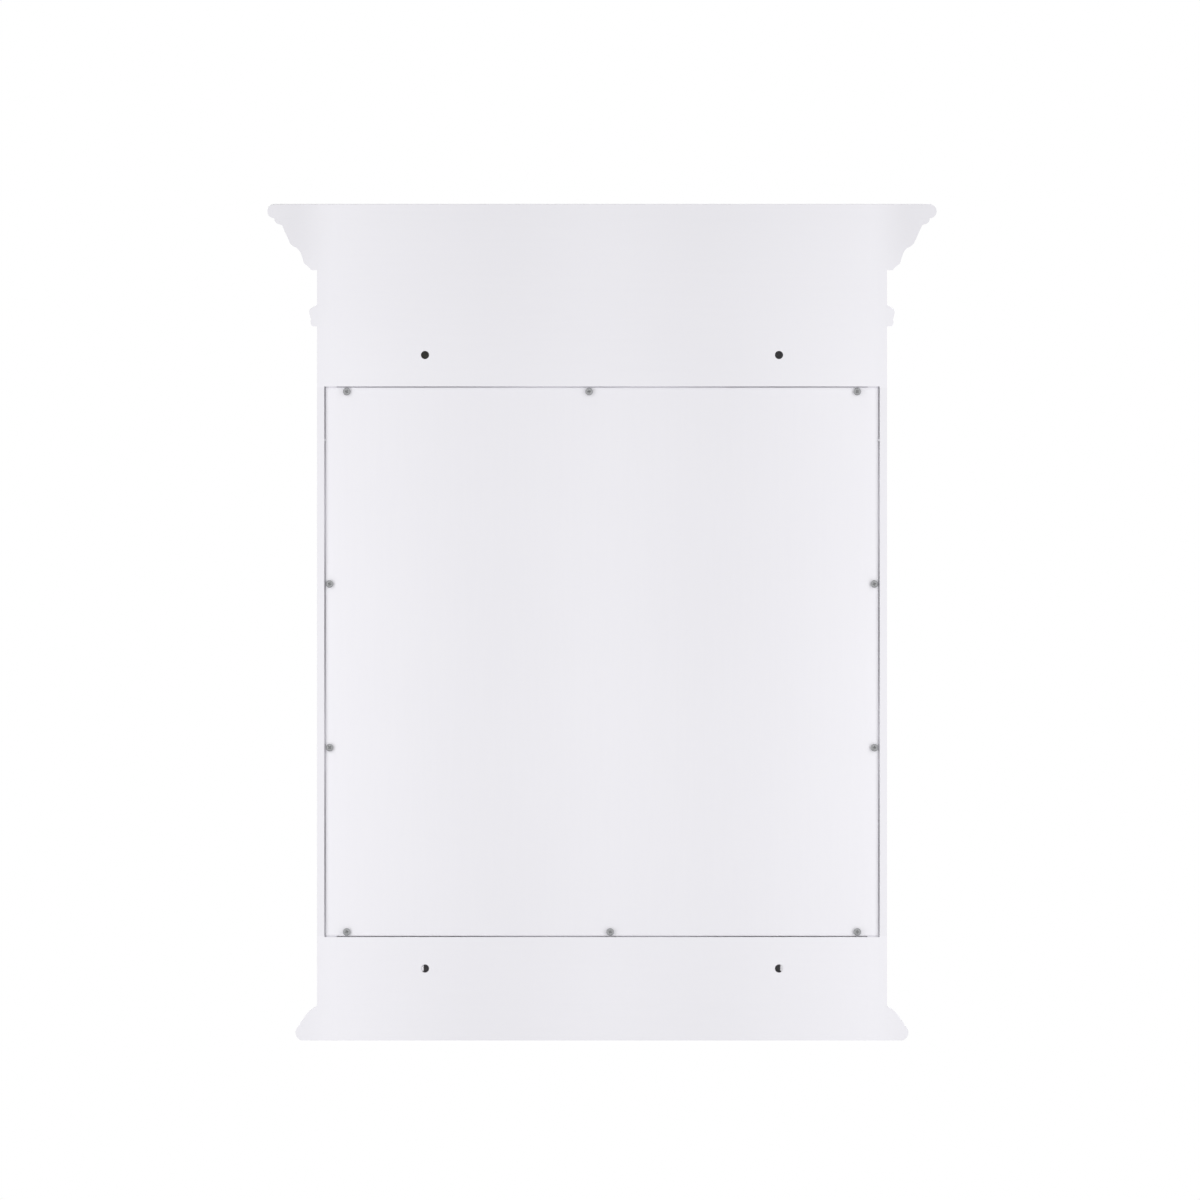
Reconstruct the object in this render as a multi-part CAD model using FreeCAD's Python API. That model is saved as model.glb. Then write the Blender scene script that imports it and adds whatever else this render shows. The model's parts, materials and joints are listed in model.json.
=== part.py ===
import FreeCAD, Part
import math
import os

# A wall-hung medicine cabinet with a mirrored door: a painted wood carcass under a moulded cornice,
# a face frame with an inset mirror door on two butt hinges, shelves on pins, and a screwed back panel.
#
# Bench frame, in millimetres: X runs across the cabinet, Y = 0 is the wall plane with the room at -Y,
# and Z = 0 is the underside of the base. Left and right are as seen from the room. At export every piece
# is lowered so that the origin lies in the middle of the four wall holes.

Vector = FreeCAD.Vector

# Carcass
BODY_WIDTH = 570.0
BODY_DEPTH = 130.0
CARCASS_HEIGHT = 822.2
SIDE_THICKNESS = 20.0
INNER_BOARD_THICKNESS = 18.0
FLOOR_HEIGHT = 42.0
CEILING_ABOVE_DOOR = 3.0

# Cap board, and three mouldings that wrap the front and both sides. A moulding goes down from its top
# in steps of (run outwards, drop, rise of the arc over the straight line, positive when convex).
CAP_THICKNESS = 13.8
CROWN_STEPS = [
    (-5.3, 6.0, 1.7),  # ovolo under the cap
    (-2.3, 1.0, 0.0),  # fillet
    (-8.1, 17.9, 0.0),  # upper slope
    (-6.6, 4.7, 0.6),  # upper roll
    (-4.4, 5.8, -0.4),  # upper cove
    (-3.2, 10.1, 0.0),  # lower slope
    (-7.1, 6.4, -0.5),  # lower cove
    (-5.7, 0.0, 0.0),  # soffit, back to the body
]
ASTRAGAL_BELOW_CAP = 87.0
ASTRAGAL_STEPS = [
    (6.0, 3.3, 0.0),  # weathered top
    (1.7, 3.9, 0.5),  # shoulder of the large bead
    (-1.9, 6.9, 0.2),  # its lower side
    (-0.8, 6.7, 1.0),  # small bead
    (-5.0, 0.3, 0.0),  # soffit, back to the body
]
BASE_STEPS = [
    (13.8, 13.4, 1.6),  # ovolo
    (3.5, 5.4, 0.6),  # small bead
    (4.1, 7.2, 0.8),  # top of the bullnose
    (-6.0, 8.2, 1.7),  # its lower side
]

# Back rails, back panel and the holes for the wall screws. Rail heights are those that show at the back.
RAIL_THICKNESS = 20.0
CORNICE_RAIL_HEIGHT = 73.7
UPPER_RAIL_HEIGHT = 94.5
LOWER_RAIL_HEIGHT = 69.5
BASE_RAIL_HEIGHT = 34.0
RAIL_LEDGE = 12.0
REBATE_LIP = 7.5
REBATE_EDGE_RADIUS = 0.8
PANEL_THICKNESS = 6.0
PANEL_GAP = 1.0
PANEL_EDGE_RADIUS = 0.4
WALL_HOLE_DIAMETER = 8.2
WALL_HOLE_SPACING_X = 354.0
WALL_HOLE_TO_PANEL = 31.5

# Pan head screws of the back panel: three along each hanging rail and two down each side
PANEL_SCREW_HEAD_DIAMETER = 7.5
PANEL_SCREW_HEAD_HEIGHT = 2.6
PANEL_SCREW_HEAD_TO_WALL = 0.4
PANEL_SCREW_SHANK_DIAMETER = 3.9
PANEL_SCREW_BITE = 8.0
PANEL_SCREW_EDGE = 4.1
PANEL_SCREW_CORNER = 21.2
TOP_MIDDLE_SCREW_X = 12.9
BOTTOM_MIDDLE_SCREW_X = -8.2
SIDE_SCREW_ABOVE_MIDDLE = 77.8
SIDE_SCREW_BELOW_MIDDLE = 85.9
PAN_ROUNDING = 0.6  # the rounding of a pan head's rim, as a share of its height
SCREW_CLEARANCE = 0.1

# Dowels that join rails and boards to the side panels
DOWEL_DIAMETER = 8.0
DOWEL_IN_SIDE = 12.0
DOWEL_IN_BOARD = 18.0
DOWEL_CLEARANCE = 0.1

# Face frame, and the tenons that hold it and the door frame together
STILE_WIDTH = 42.0
FACE_RAIL_HEIGHT = 58.0
FRIEZE_HEIGHT = 125.2
FRAME_EDGE_RADIUS = 1.2
TENON_THICKNESS = 7.0
TENON_SHOULDER = 9.0
TENON_CLEARANCE = 0.15
MORTISE_WALL = 16.0

# Door frame, mirror, backing board and the beads that hold them. The frame is as thick as this stack.
DOOR_GAP = 2.0
DOOR_MEMBER_WIDTH = 50.0
DOOR_EDGE_RADIUS = 1.5
STICKING_QUIRK = 1.5
STICKING_FILLET = 2.5
STICKING_RADIUS = 5.5
SIGHT_EDGE = 2.0
MIRROR_THICKNESS = 4.0
MIRROR_CLEARANCE = 1.0
MIRROR_SEAT_GAP = 0.1
BEVEL_WIDTH = 20.0
BEVEL_EDGE_THICKNESS = 2.0
BACKING_THICKNESS = 3.0
BEAD_THICKNESS = 5.2
BEAD_WIDTH = 9.0
BEAD_RADIUS = 3.5
BEAD_CLEARANCE = 0.2

# Shelves and shelf pins
SHELF_NAMES = ("lower_shelf", "upper_shelf")
SHELF_THICKNESS = 16.0
SHELF_END_GAP = 1.0
SHELF_BACK_GAP = 1.0
SHELF_SETBACK = 6.0
SHELF_EDGE_RADIUS = 2.5
PIN_DIAMETER = 5.0
PIN_CLEARANCE = 0.05
PIN_DEPTH = 9.0
PIN_REACH = 10.0
PIN_PADDLE_WIDTH = 9.0
PIN_HOLE_PITCH = 32.0
PIN_HOLE_MARGIN = 110.0
PIN_COLUMN_INSET = 25.0

# Butt hinges, on the left of the door
HINGE_HEIGHT = 50.0
HINGE_INSET = 85.0
HINGE_LET_IN = 0.5
LEAF_WIDTH = 16.0
LEAF_GAP = 0.2
KNUCKLE_COUNT = 5
KNUCKLE_WALL = 1.55
KNUCKLE_GAP = 0.3
HINGE_PIN_DIAMETER = 3.2
HINGE_PIN_CLEARANCE = 0.05
HINGE_TIP_HEIGHT = 2.2
HINGE_SCREW_TO_END = 11.0
HINGE_SCREW_HEAD_DIAMETER = 5.4
HINGE_SCREW_SHANK_DIAMETER = 2.8
HINGE_SCREW_LENGTH = 14.0

# Knob on the right stile of the door, and the rosette under it
KNOB_HEIGHT = 320.0
KNOB_DIAMETER = 28.0
KNOB_DOME = 3.0
KNOB_RIM = 1.6
KNOB_RIM_HEIGHT = 4.2
KNOB_UNDERSIDE = 3.8
KNOB_NECK_DIAMETER = 11.0
KNOB_NECK_LENGTH = 10.4
KNOB_WAIST = 1.2
ROSETTE_THICKNESS = 2.6
ROSETTE_EDGE = 1.0
ROSETTE_LAND = 2.0
ROSETTE_SLOPE = 2.5
ROSETTE_RISE = 0.4
KNOB_SCREW_DIAMETER = 4.0
KNOB_SCREW_BITE = 10.0
KNOB_SCREW_HEAD_DIAMETER = 8.0
KNOB_SCREW_HEAD_HEIGHT = 2.4

# Magnetic catch under the ceiling, and its strike plate on the door
CATCH_TO_SIGHT_EDGE = 23.0
CATCH_WALL = 5.0
CATCH_FLOOR = 2.2
CATCH_ROOF = 8.2
CATCH_BACK = 5.0
CATCH_EAR = 11.0
CATCH_EAR_THICKNESS = 3.0
CATCH_CLEARANCE = 0.1
CATCH_AIR_GAP = 0.3
MAGNET_LENGTH = 24.0
MAGNET_HEIGHT = 4.5
MAGNET_DEPTH = 9.0
POLE_PLATE_THICKNESS = 1.5
POLE_PROUD = 0.6
CATCH_SCREW_HEAD_DIAMETER = 6.0
CATCH_SCREW_HEAD_HEIGHT = 2.0
CATCH_SCREW_SHANK_DIAMETER = 3.0
CATCH_SCREW_LENGTH = 13.0
STRIKE_LENGTH = 32.0
STRIKE_HEIGHT = 10.0
STRIKE_THICKNESS = 1.4
STRIKE_SCREW_HEAD_DIAMETER = 5.0
STRIKE_SCREW_SHANK_DIAMETER = 2.6
STRIKE_SCREW_LENGTH = 10.0

MARGIN = 1.0  # how far a cutting tool runs past the face that it cuts

# Places in the door's thickness, from the front of the mirror's lip to the back of the beads
STICKING_WIDTH = STICKING_FILLET + STICKING_RADIUS
MIRROR_LIP = STICKING_QUIRK + STICKING_RADIUS + SIGHT_EDGE
BEVEL_DROP = MIRROR_THICKNESS - BEVEL_EDGE_THICKNESS
BEVEL_IN_VIEW = BEVEL_WIDTH - (STICKING_WIDTH - MIRROR_CLEARANCE)
MIRROR_DEPTH = MIRROR_LIP - BEVEL_DROP * BEVEL_IN_VIEW / BEVEL_WIDTH + MIRROR_SEAT_GAP
FRAME_THICKNESS = MIRROR_DEPTH + MIRROR_THICKNESS + BACKING_THICKNESS + BEAD_THICKNESS

FRONT = -BODY_DEPTH
FRAME_BACK = FRONT + FRAME_THICKNESS
MIRROR_SEAT = FRONT + MIRROR_LIP
MIRROR_FRONT = FRONT + MIRROR_DEPTH
MIRROR_BACK = MIRROR_FRONT + MIRROR_THICKNESS
BACKING_BACK = MIRROR_BACK + BACKING_THICKNESS

# Places across and up the carcass
HALF_WIDTH = BODY_WIDTH / 2
INNER_HALF_WIDTH = HALF_WIDTH - SIDE_THICKNESS
CROWN_PROJECTION = -sum(run for run, drop, rise in CROWN_STEPS)
CAP_OVERHANG = CROWN_PROJECTION + CAP_THICKNESS / 2
ASTRAGAL_TOP = CARCASS_HEIGHT - ASTRAGAL_BELOW_CAP
BASE_HEIGHT = sum(drop for run, drop, rise in BASE_STEPS)
UPPER_RAIL_TOP = CARCASS_HEIGHT - CORNICE_RAIL_HEIGHT
REBATE_DEPTH = PANEL_THICKNESS + PANEL_SCREW_HEAD_HEIGHT + PANEL_SCREW_HEAD_TO_WALL
PANEL_OPENING_BOTTOM = BASE_RAIL_HEIGHT + LOWER_RAIL_HEIGHT
PANEL_OPENING_TOP = UPPER_RAIL_TOP - UPPER_RAIL_HEIGHT
PANEL_HALF_WIDTH = HALF_WIDTH - REBATE_LIP - PANEL_GAP
PANEL_BOTTOM = PANEL_OPENING_BOTTOM + PANEL_GAP
PANEL_TOP = PANEL_OPENING_TOP - PANEL_GAP
PANEL_BACK = PANEL_THICKNESS - REBATE_DEPTH
WALL_HOLE_HEIGHTS = (PANEL_OPENING_BOTTOM - WALL_HOLE_TO_PANEL, PANEL_OPENING_TOP + WALL_HOLE_TO_PANEL)
ORIGIN_HEIGHT = sum(WALL_HOLE_HEIGHTS) / 2

# Places across and up the door. The sight edge is the edge of the mirror that shows; the flat edge is
# where the moulded part of a door member begins.
OPENING_HALF_WIDTH = HALF_WIDTH - STILE_WIDTH
OPENING_TOP = CARCASS_HEIGHT - FRIEZE_HEIGHT
CEILING_HEIGHT = OPENING_TOP + CEILING_ABOVE_DOOR
DOOR_X = OPENING_HALF_WIDTH - DOOR_GAP
DOOR_BOTTOM = FACE_RAIL_HEIGHT + DOOR_GAP
DOOR_TOP = OPENING_TOP - DOOR_GAP
SIGHT_X = DOOR_X - DOOR_MEMBER_WIDTH
SIGHT_BOTTOM = DOOR_BOTTOM + DOOR_MEMBER_WIDTH
SIGHT_TOP = DOOR_TOP - DOOR_MEMBER_WIDTH
FLAT_X = SIGHT_X + STICKING_WIDTH
FLAT_BOTTOM = SIGHT_BOTTOM - STICKING_WIDTH
FLAT_TOP = SIGHT_TOP + STICKING_WIDTH

# Each rail's foot, top and tenon length, for the face frame and for the door
FACE_TENON = STILE_WIDTH - MORTISE_WALL
DOOR_TENON = DOOR_MEMBER_WIDTH - STICKING_WIDTH - MORTISE_WALL
FACE_RAILS = {
    "face_rail": (0, FACE_RAIL_HEIGHT, FACE_TENON),
    "frieze_rail": (OPENING_TOP, CARCASS_HEIGHT, FACE_TENON),
}
DOOR_RAILS = {
    "door_rail_bottom": (DOOR_BOTTOM, FLAT_BOTTOM, DOOR_TENON),
    "door_rail_top": (FLAT_TOP, DOOR_TOP, DOOR_TENON),
}

# Hinges, knob and catch
LEAF_THICKNESS = (DOOR_GAP - LEAF_GAP) / 2 + HINGE_LET_IN
KNUCKLE_DIAMETER = HINGE_PIN_DIAMETER + 2 * (HINGE_PIN_CLEARANCE + KNUCKLE_WALL)
HINGE_X = DOOR_GAP / 2 - OPENING_HALF_WIDTH
HINGE_Y = FRONT - KNUCKLE_GAP - KNUCKLE_DIAMETER / 2
HINGE_HEIGHTS = {
    "lower": DOOR_BOTTOM + HINGE_INSET + HINGE_HEIGHT / 2,
    "upper": DOOR_TOP - HINGE_INSET - HINGE_HEIGHT / 2,
}
KNOB_X = DOOR_X - DOOR_MEMBER_WIDTH / 2
CATCH_X = SIGHT_X - CATCH_TO_SIGHT_EDGE
CATCH_LENGTH = MAGNET_LENGTH + 2 * CATCH_WALL
CATCH_DEPTH = MAGNET_DEPTH + CATCH_BACK
STRIKE_BACK = FRAME_BACK + STRIKE_THICKNESS
CATCH_FRONT = STRIKE_BACK + CATCH_AIR_GAP + POLE_PROUD
UPPER_POLE_TOP = CEILING_HEIGHT - CATCH_ROOF
MAGNET_TOP = UPPER_POLE_TOP - POLE_PLATE_THICKNESS
MAGNET_BOTTOM = MAGNET_TOP - MAGNET_HEIGHT
LOWER_POLE_BOTTOM = MAGNET_BOTTOM - POLE_PLATE_THICKNESS
CATCH_BOTTOM = LOWER_POLE_BOTTOM - CATCH_FLOOR
STRIKE_MIDDLE = (LOWER_POLE_BOTTOM + UPPER_POLE_TOP) / 2

UP = Vector(0, 0, 1)
TO_RIGHT = Vector(1, 0, 0)
TO_WALL = Vector(0, 1, 0)
TO_ROOM = Vector(0, -1, 0)


# Building blocks

def box(x, y, z):
    """A block between two limits on each axis, given in either order."""
    low = Vector(min(x), min(y), min(z))
    size = Vector(max(x), max(y), max(z)) - low
    return Part.makeBox(size.x, size.y, size.z, low)


def cylinder(start, direction, diameter, length):
    return Part.makeCylinder(diameter / 2, length, start, direction)


def face_through(points, arcs):
    """A flat face through the points; arcs[i] is the middle of an arc that follows point i."""
    edges = []
    for i, start in enumerate(points):
        end = points[(i + 1) % len(points)]
        if i in arcs:
            edges.append(Part.Arc(start, arcs[i], end).toShape())
        elif start.distanceToPoint(end) > 1e-6:
            edges.append(Part.LineSegment(start, end).toShape())
    return Part.Face(Part.Wire(edges))


def risen_face(stretches, to_point):
    """A flat face from points (u, v, rise), each followed by an arc of that rise, or by a line if it is 0."""
    points, arcs = [], {}
    for i, (u, v, rise) in enumerate(stretches):
        points.append(to_point(u, v))
        if rise:
            next_u, next_v, _ = stretches[(i + 1) % len(stretches)]
            du, dv = next_u - u, next_v - v
            chord = math.hypot(du, dv)
            arcs[i] = to_point(u + du / 2 - rise * dv / chord, v + dv / 2 + rise * du / chord)
    return face_through(points, arcs)


def in_space(along, u, v, w):
    """The point (u, v) of a section across the axis `along`, at w on that axis."""
    return {"x": Vector(w, u, v), "y": Vector(u, w, v), "z": Vector(u, v, w)}[along]


def bar(along, limits, corners):
    """A bar between two limits of an axis, whose section has the corners (u, v, rounding radius)."""
    low, high = sorted(limits)
    points, arcs = [], {}
    for i, (u, v, radius) in enumerate(corners):
        here = Vector(u, v, 0)
        if not radius:
            points.append(here)
            continue
        before = (Vector(*corners[i - 1][:2]) - here).normalize()
        after = (Vector(*corners[(i + 1) % len(corners)][:2]) - here).normalize()
        half_angle = before.getAngle(after) / 2
        reach = radius / math.tan(half_angle)
        arcs[len(points)] = here + (before + after).normalize() * (radius / math.sin(half_angle) - radius)
        points += [here + before * reach, here + after * reach]
    points = [in_space(along, point.x, point.y, low) for point in points]
    arcs = {i: in_space(along, middle.x, middle.y, low) for i, middle in arcs.items()}
    return face_through(points, arcs).extrude(in_space(along, 0, 0, high - low))


def plan(z, outline):
    """An upright block between two heights, with its plan given by (x, y) points."""
    return bar("z", z, [(x, y, 0) for x, y in outline])


def through_frame(outline):
    """A block through the whole thickness of the door, with its front view given by (x, z) points."""
    return bar("y", (FRONT - MARGIN, FRAME_BACK + MARGIN), [(x, z, 0) for x, z in outline])


def mirrored(shape):
    """The same shape on the other side of the cabinet's middle."""
    return shape.mirror(Vector(), TO_RIGHT)


def both_sides(shapes):
    shapes = list(shapes)
    return shapes + [mirrored(shape) for shape in shapes]


def stand(shape, seat, direction):
    """Sets a shape made upright on the origin onto `seat`, along `direction`."""
    shape.Placement = FreeCAD.Placement(seat, FreeCAD.Rotation(UP, direction))
    return shape


def pan_screw(seat, out, head_diameter, head_height, shank_diameter, length):
    """A pan head screw: its head stands out from the seat and its shank goes in."""
    head = Part.makeCylinder(head_diameter / 2, head_height)
    rim = [edge for edge in head.Edges if edge.BoundBox.ZMin > head_height / 2]
    head = head.makeFillet(PAN_ROUNDING * head_height, rim)
    shank = cylinder(Vector(), -UP, shank_diameter, length)
    return stand(head.fuse(shank).removeSplitter(), seat, out)


def shank_hole(seat, into, shank_diameter, length):
    """The hole for a screw's shank, with clearance round it and past its tip."""
    return cylinder(seat, into, shank_diameter + 2 * SCREW_CLEARANCE, length + MARGIN)


def flat_screw(seat, into, head_diameter, head_depth, shank_diameter, length, grow=0.0):
    """A countersunk screw with its head flush at the seat, or with `grow` the hole for it."""
    head = Part.makeCone(head_diameter / 2 + grow, shank_diameter / 2 + grow, head_depth, seat, into)
    return head.fuse(cylinder(seat, into, shank_diameter + 2 * grow, length + grow)).removeSplitter()


# Cap board and mouldings

def cap_board():
    """The top board: a half round runs along its front and both ends, and its back edge is square."""
    bottom, top, radius = CARCASS_HEIGHT, CARCASS_HEIGHT + CAP_THICKNESS, CAP_THICKNESS / 2
    x, y = HALF_WIDTH + CAP_OVERHANG, FRONT - CAP_OVERHANG
    lengthwise = bar("x", (-x, x), [(0, bottom, 0), (y, bottom, radius), (y, top, radius), (0, top, 0)])
    crosswise = bar("y", (y, 0), [
        (-x, bottom, radius), (x, bottom, radius), (x, top, radius), (-x, top, radius),
    ])
    return lengthwise.common(crosswise)


def moulding(name, steps, out, top):
    """Front and side lengths of a moulding that starts `out` from the body, mitred where they meet."""
    stretches, z, reach = [], top, 0
    for run, drop, rise in steps:
        stretches.append((out, z, rise))
        reach = max(reach, out + abs(rise), out + run + abs(rise))
        out, z = out + run, z - drop
    stretches += [(out, z, 0), (0, z, 0), (0, top, 0)]
    far_x, far_y = HALF_WIDTH + reach + MARGIN, FRONT - reach - MARGIN
    heights = (z - MARGIN, top + MARGIN)

    front = risen_face(stretches, lambda offset, height: Vector(-far_x, FRONT - offset, height))
    front = front.extrude(TO_RIGHT * 2 * far_x)
    front = front.common(plan(heights, [
        (-HALF_WIDTH, FRONT), (HALF_WIDTH, FRONT), (far_x, far_y), (-far_x, far_y),
    ]))
    right = risen_face(stretches, lambda offset, height: Vector(HALF_WIDTH + offset, 0, height))
    right = right.extrude(TO_WALL * far_y)
    right = right.common(plan(heights, [
        (HALF_WIDTH, 0), (far_x, 0), (far_x, far_y), (HALF_WIDTH, FRONT),
    ]))
    return {name + "_front": front, name + "_right": right, name + "_left": mirrored(right)}


# Holes that go through more than one piece

def panel_screw_seats():
    """Where the back panel's screws enter: three along each rail, two down each side."""
    corner = PANEL_HALF_WIDTH - PANEL_SCREW_CORNER
    side = PANEL_HALF_WIDTH - PANEL_SCREW_EDGE
    middle = (PANEL_BOTTOM + PANEL_TOP) / 2
    seats = [(x, PANEL_TOP - PANEL_SCREW_EDGE) for x in (-corner, TOP_MIDDLE_SCREW_X, corner)]
    seats += [(x, PANEL_BOTTOM + PANEL_SCREW_EDGE) for x in (-corner, BOTTOM_MIDDLE_SCREW_X, corner)]
    for z in (middle + SIDE_SCREW_ABOVE_MIDDLE, middle - SIDE_SCREW_BELOW_MIDDLE):
        seats += [(-side, z), (side, z)]
    return [Vector(x, PANEL_BACK, z) for x, z in seats]


def quarter_points(low, high):
    return [low + (high - low) / 4, high - (high - low) / 4]


def dowel_places():
    """Dowel centres on the right side panel's inner face, for each rail and board that ends there."""
    rail_y = -RAIL_THICKNESS / 2
    places = [(rail_y, BASE_RAIL_HEIGHT / 2)]
    places += [(rail_y, z) for z in quarter_points(BASE_RAIL_HEIGHT, PANEL_OPENING_BOTTOM)]
    places += [(rail_y, z) for z in quarter_points(PANEL_OPENING_TOP, UPPER_RAIL_TOP)]
    places += [(rail_y, z) for z in quarter_points(UPPER_RAIL_TOP, CARCASS_HEIGHT)]
    for z in (FLOOR_HEIGHT - INNER_BOARD_THICKNESS / 2, CEILING_HEIGHT + INNER_BOARD_THICKNESS / 2):
        places += [(y, z) for y in quarter_points(FRAME_BACK, -RAIL_THICKNESS)]
    return [Vector(INNER_HALF_WIDTH, y, z) for y, z in places]


def dowels(grow):
    """The dowels of both sides, or with `grow` the holes for them."""
    length = DOWEL_IN_BOARD + DOWEL_IN_SIDE + 2 * grow
    starts = [place - TO_RIGHT * (DOWEL_IN_BOARD + grow) for place in dowel_places()]
    return both_sides(cylinder(start, TO_RIGHT, DOWEL_DIAMETER + 2 * grow, length) for start in starts)


def panel_screw_holes():
    length = PANEL_THICKNESS + PANEL_SCREW_BITE
    return [shank_hole(seat, TO_ROOM, PANEL_SCREW_SHANK_DIAMETER, length) for seat in panel_screw_seats()]


def wall_holes():
    depth = RAIL_THICKNESS + 2 * MARGIN
    starts = [Vector(WALL_HOLE_SPACING_X / 2, MARGIN, z) for z in WALL_HOLE_HEIGHTS]
    return both_sides(cylinder(start, TO_ROOM, WALL_HOLE_DIAMETER, depth) for start in starts)


# Shelves

def shelf_depth():
    """Y of a shelf's front and back edge."""
    return FRAME_BACK + SHELF_SETBACK, -REBATE_DEPTH - SHELF_BACK_GAP


def pin_columns():
    """Y of the front and the back column of pin holes, set in from the shelf's edges."""
    front, back = shelf_depth()
    return front + PIN_COLUMN_INSET, back - PIN_COLUMN_INSET


def pin_hole_heights():
    low, high = FLOOR_HEIGHT + PIN_HOLE_MARGIN, CEILING_HEIGHT - PIN_HOLE_MARGIN
    count = int((high - low) // PIN_HOLE_PITCH) + 1
    return [low + i * PIN_HOLE_PITCH for i in range(count)]


def shelf_pin_heights():
    """For each shelf, lowest first, the pin hole nearest to an even share of the inside height."""
    step = (CEILING_HEIGHT - FLOOR_HEIGHT) / (len(SHELF_NAMES) + 1)
    targets = [FLOOR_HEIGHT + step * (i + 1) for i in range(len(SHELF_NAMES))]
    return [min(pin_hole_heights(), key=lambda height: abs(height - target)) for target in targets]


def pin_holes():
    """The pin holes of the right side panel."""
    places = [Vector(INNER_HALF_WIDTH - MARGIN, y, z) for y in pin_columns() for z in pin_hole_heights()]
    return [cylinder(place, TO_RIGHT, PIN_DIAMETER, PIN_DEPTH + 2 * MARGIN) for place in places]


def shelf_pin(y, z):
    """A right-hand pin with a flat paddle, level with the top of the pin."""
    diameter = PIN_DIAMETER - 2 * PIN_CLEARANCE
    start = Vector(INNER_HALF_WIDTH - PIN_REACH, y, z)
    stem = cylinder(start, TO_RIGHT, diameter, PIN_REACH + PIN_DEPTH)
    half = PIN_PADDLE_WIDTH / 2
    paddle = box((start.x, INNER_HALF_WIDTH), (y - half, y + half), (z, z + diameter / 2))
    return stem.fuse(paddle).removeSplitter()


def shelf_pins():
    return both_sides(shelf_pin(y, z) for z in shelf_pin_heights() for y in pin_columns())


def shelf(pin_height):
    """A shelf that lies on its pins, with its front edge rounded."""
    bottom = pin_height + PIN_DIAMETER / 2 - PIN_CLEARANCE
    top = bottom + SHELF_THICKNESS
    front, back = shelf_depth()
    x = INNER_HALF_WIDTH - SHELF_END_GAP
    return bar("x", (-x, x), [
        (front, bottom, SHELF_EDGE_RADIUS),
        (back, bottom, 0),
        (back, top, 0),
        (front, top, SHELF_EDGE_RADIUS),
    ])


# Carcass

def side_panel():
    """The right side panel, with the stopped rebate for the back panel in its inner back edge."""
    lip = HALF_WIDTH - REBATE_LIP
    panel = box((INNER_HALF_WIDTH, HALF_WIDTH), (FRAME_BACK, 0), (0, CARCASS_HEIGHT))
    panel = panel.cut(box(
        (INNER_HALF_WIDTH - MARGIN, lip), (-REBATE_DEPTH, MARGIN), (PANEL_OPENING_BOTTOM, PANEL_OPENING_TOP),
    ))
    corner = Vector(lip, 0, (PANEL_OPENING_BOTTOM + PANEL_OPENING_TOP) / 2)
    lip_edges = [edge for edge in panel.Edges if edge.CenterOfMass.distanceToPoint(corner) < 1e-6]
    panel = panel.makeFillet(REBATE_EDGE_RADIUS, lip_edges)
    return panel.cut(pin_holes() + dowels(DOWEL_CLEARANCE) + panel_screw_holes())


def back_rail(corners):
    """A rail between the side panels, from a section with (y, z, radius) corners."""
    rail = bar("x", (-INNER_HALF_WIDTH, INNER_HALF_WIDTH), corners)
    return rail.cut(dowels(DOWEL_CLEARANCE) + panel_screw_holes() + wall_holes())


def hanging_rail(far_edge, opening_edge):
    """A rail with wall holes, rebated along the edge where the back panel lies on it."""
    ledge = opening_edge + math.copysign(RAIL_LEDGE, opening_edge - far_edge)
    return back_rail([
        (0, far_edge, 0),
        (0, opening_edge, REBATE_EDGE_RADIUS),
        (-REBATE_DEPTH, opening_edge, 0),
        (-REBATE_DEPTH, ledge, 0),
        (-RAIL_THICKNESS, ledge, REBATE_EDGE_RADIUS),
        (-RAIL_THICKNESS, far_edge, 0),
    ])


def plain_rail(bottom, top):
    return back_rail([(0, bottom, 0), (0, top, 0), (-RAIL_THICKNESS, top, 0), (-RAIL_THICKNESS, bottom, 0)])


def inner_board(bottom):
    """The floor or the ceiling of the cabinet, between the sides and in front of the rails."""
    x, z = (-INNER_HALF_WIDTH, INNER_HALF_WIDTH), (bottom, bottom + INNER_BOARD_THICKNESS)
    return box(x, (FRAME_BACK, -RAIL_THICKNESS), z).cut(dowels(DOWEL_CLEARANCE))


def back_panel():
    panel = bar("x", (-PANEL_HALF_WIDTH, PANEL_HALF_WIDTH), [
        (-REBATE_DEPTH, PANEL_BOTTOM, 0),
        (PANEL_BACK, PANEL_BOTTOM, PANEL_EDGE_RADIUS),
        (PANEL_BACK, PANEL_TOP, PANEL_EDGE_RADIUS),
        (-REBATE_DEPTH, PANEL_TOP, 0),
    ])
    return panel.cut(panel_screw_holes())


def panel_screws():
    head = (PANEL_SCREW_HEAD_DIAMETER, PANEL_SCREW_HEAD_HEIGHT)
    shank = (PANEL_SCREW_SHANK_DIAMETER, PANEL_THICKNESS + PANEL_SCREW_BITE)
    return [pan_screw(seat, TO_WALL, *head, *shank) for seat in panel_screw_seats()]


# Face frame

def tenon(x, bottom, top, length, grow=0.0):
    """The tenon at the right end of a rail that ends at x, or with `grow` the mortise for it."""
    middle = FRONT + FRAME_THICKNESS / 2
    half = TENON_THICKNESS / 2 + grow
    z = (bottom + TENON_SHOULDER - grow, top - TENON_SHOULDER + grow)
    return box((x - MARGIN, x + length + grow), (middle - half, middle + half), z)


def mortises(x, rails):
    return [tenon(x, *rail, TENON_CLEARANCE) for rail in rails.values()]


def face_stile():
    """The right stile of the face frame."""
    stile = bar("z", (0, CARCASS_HEIGHT), [
        (OPENING_HALF_WIDTH, FRONT, FRAME_EDGE_RADIUS),
        (HALF_WIDTH, FRONT, FRAME_EDGE_RADIUS),
        (HALF_WIDTH, FRAME_BACK, 0),
        (OPENING_HALF_WIDTH, FRAME_BACK, 0),
    ])
    return stile.cut(mortises(OPENING_HALF_WIDTH, FACE_RAILS))


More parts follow.
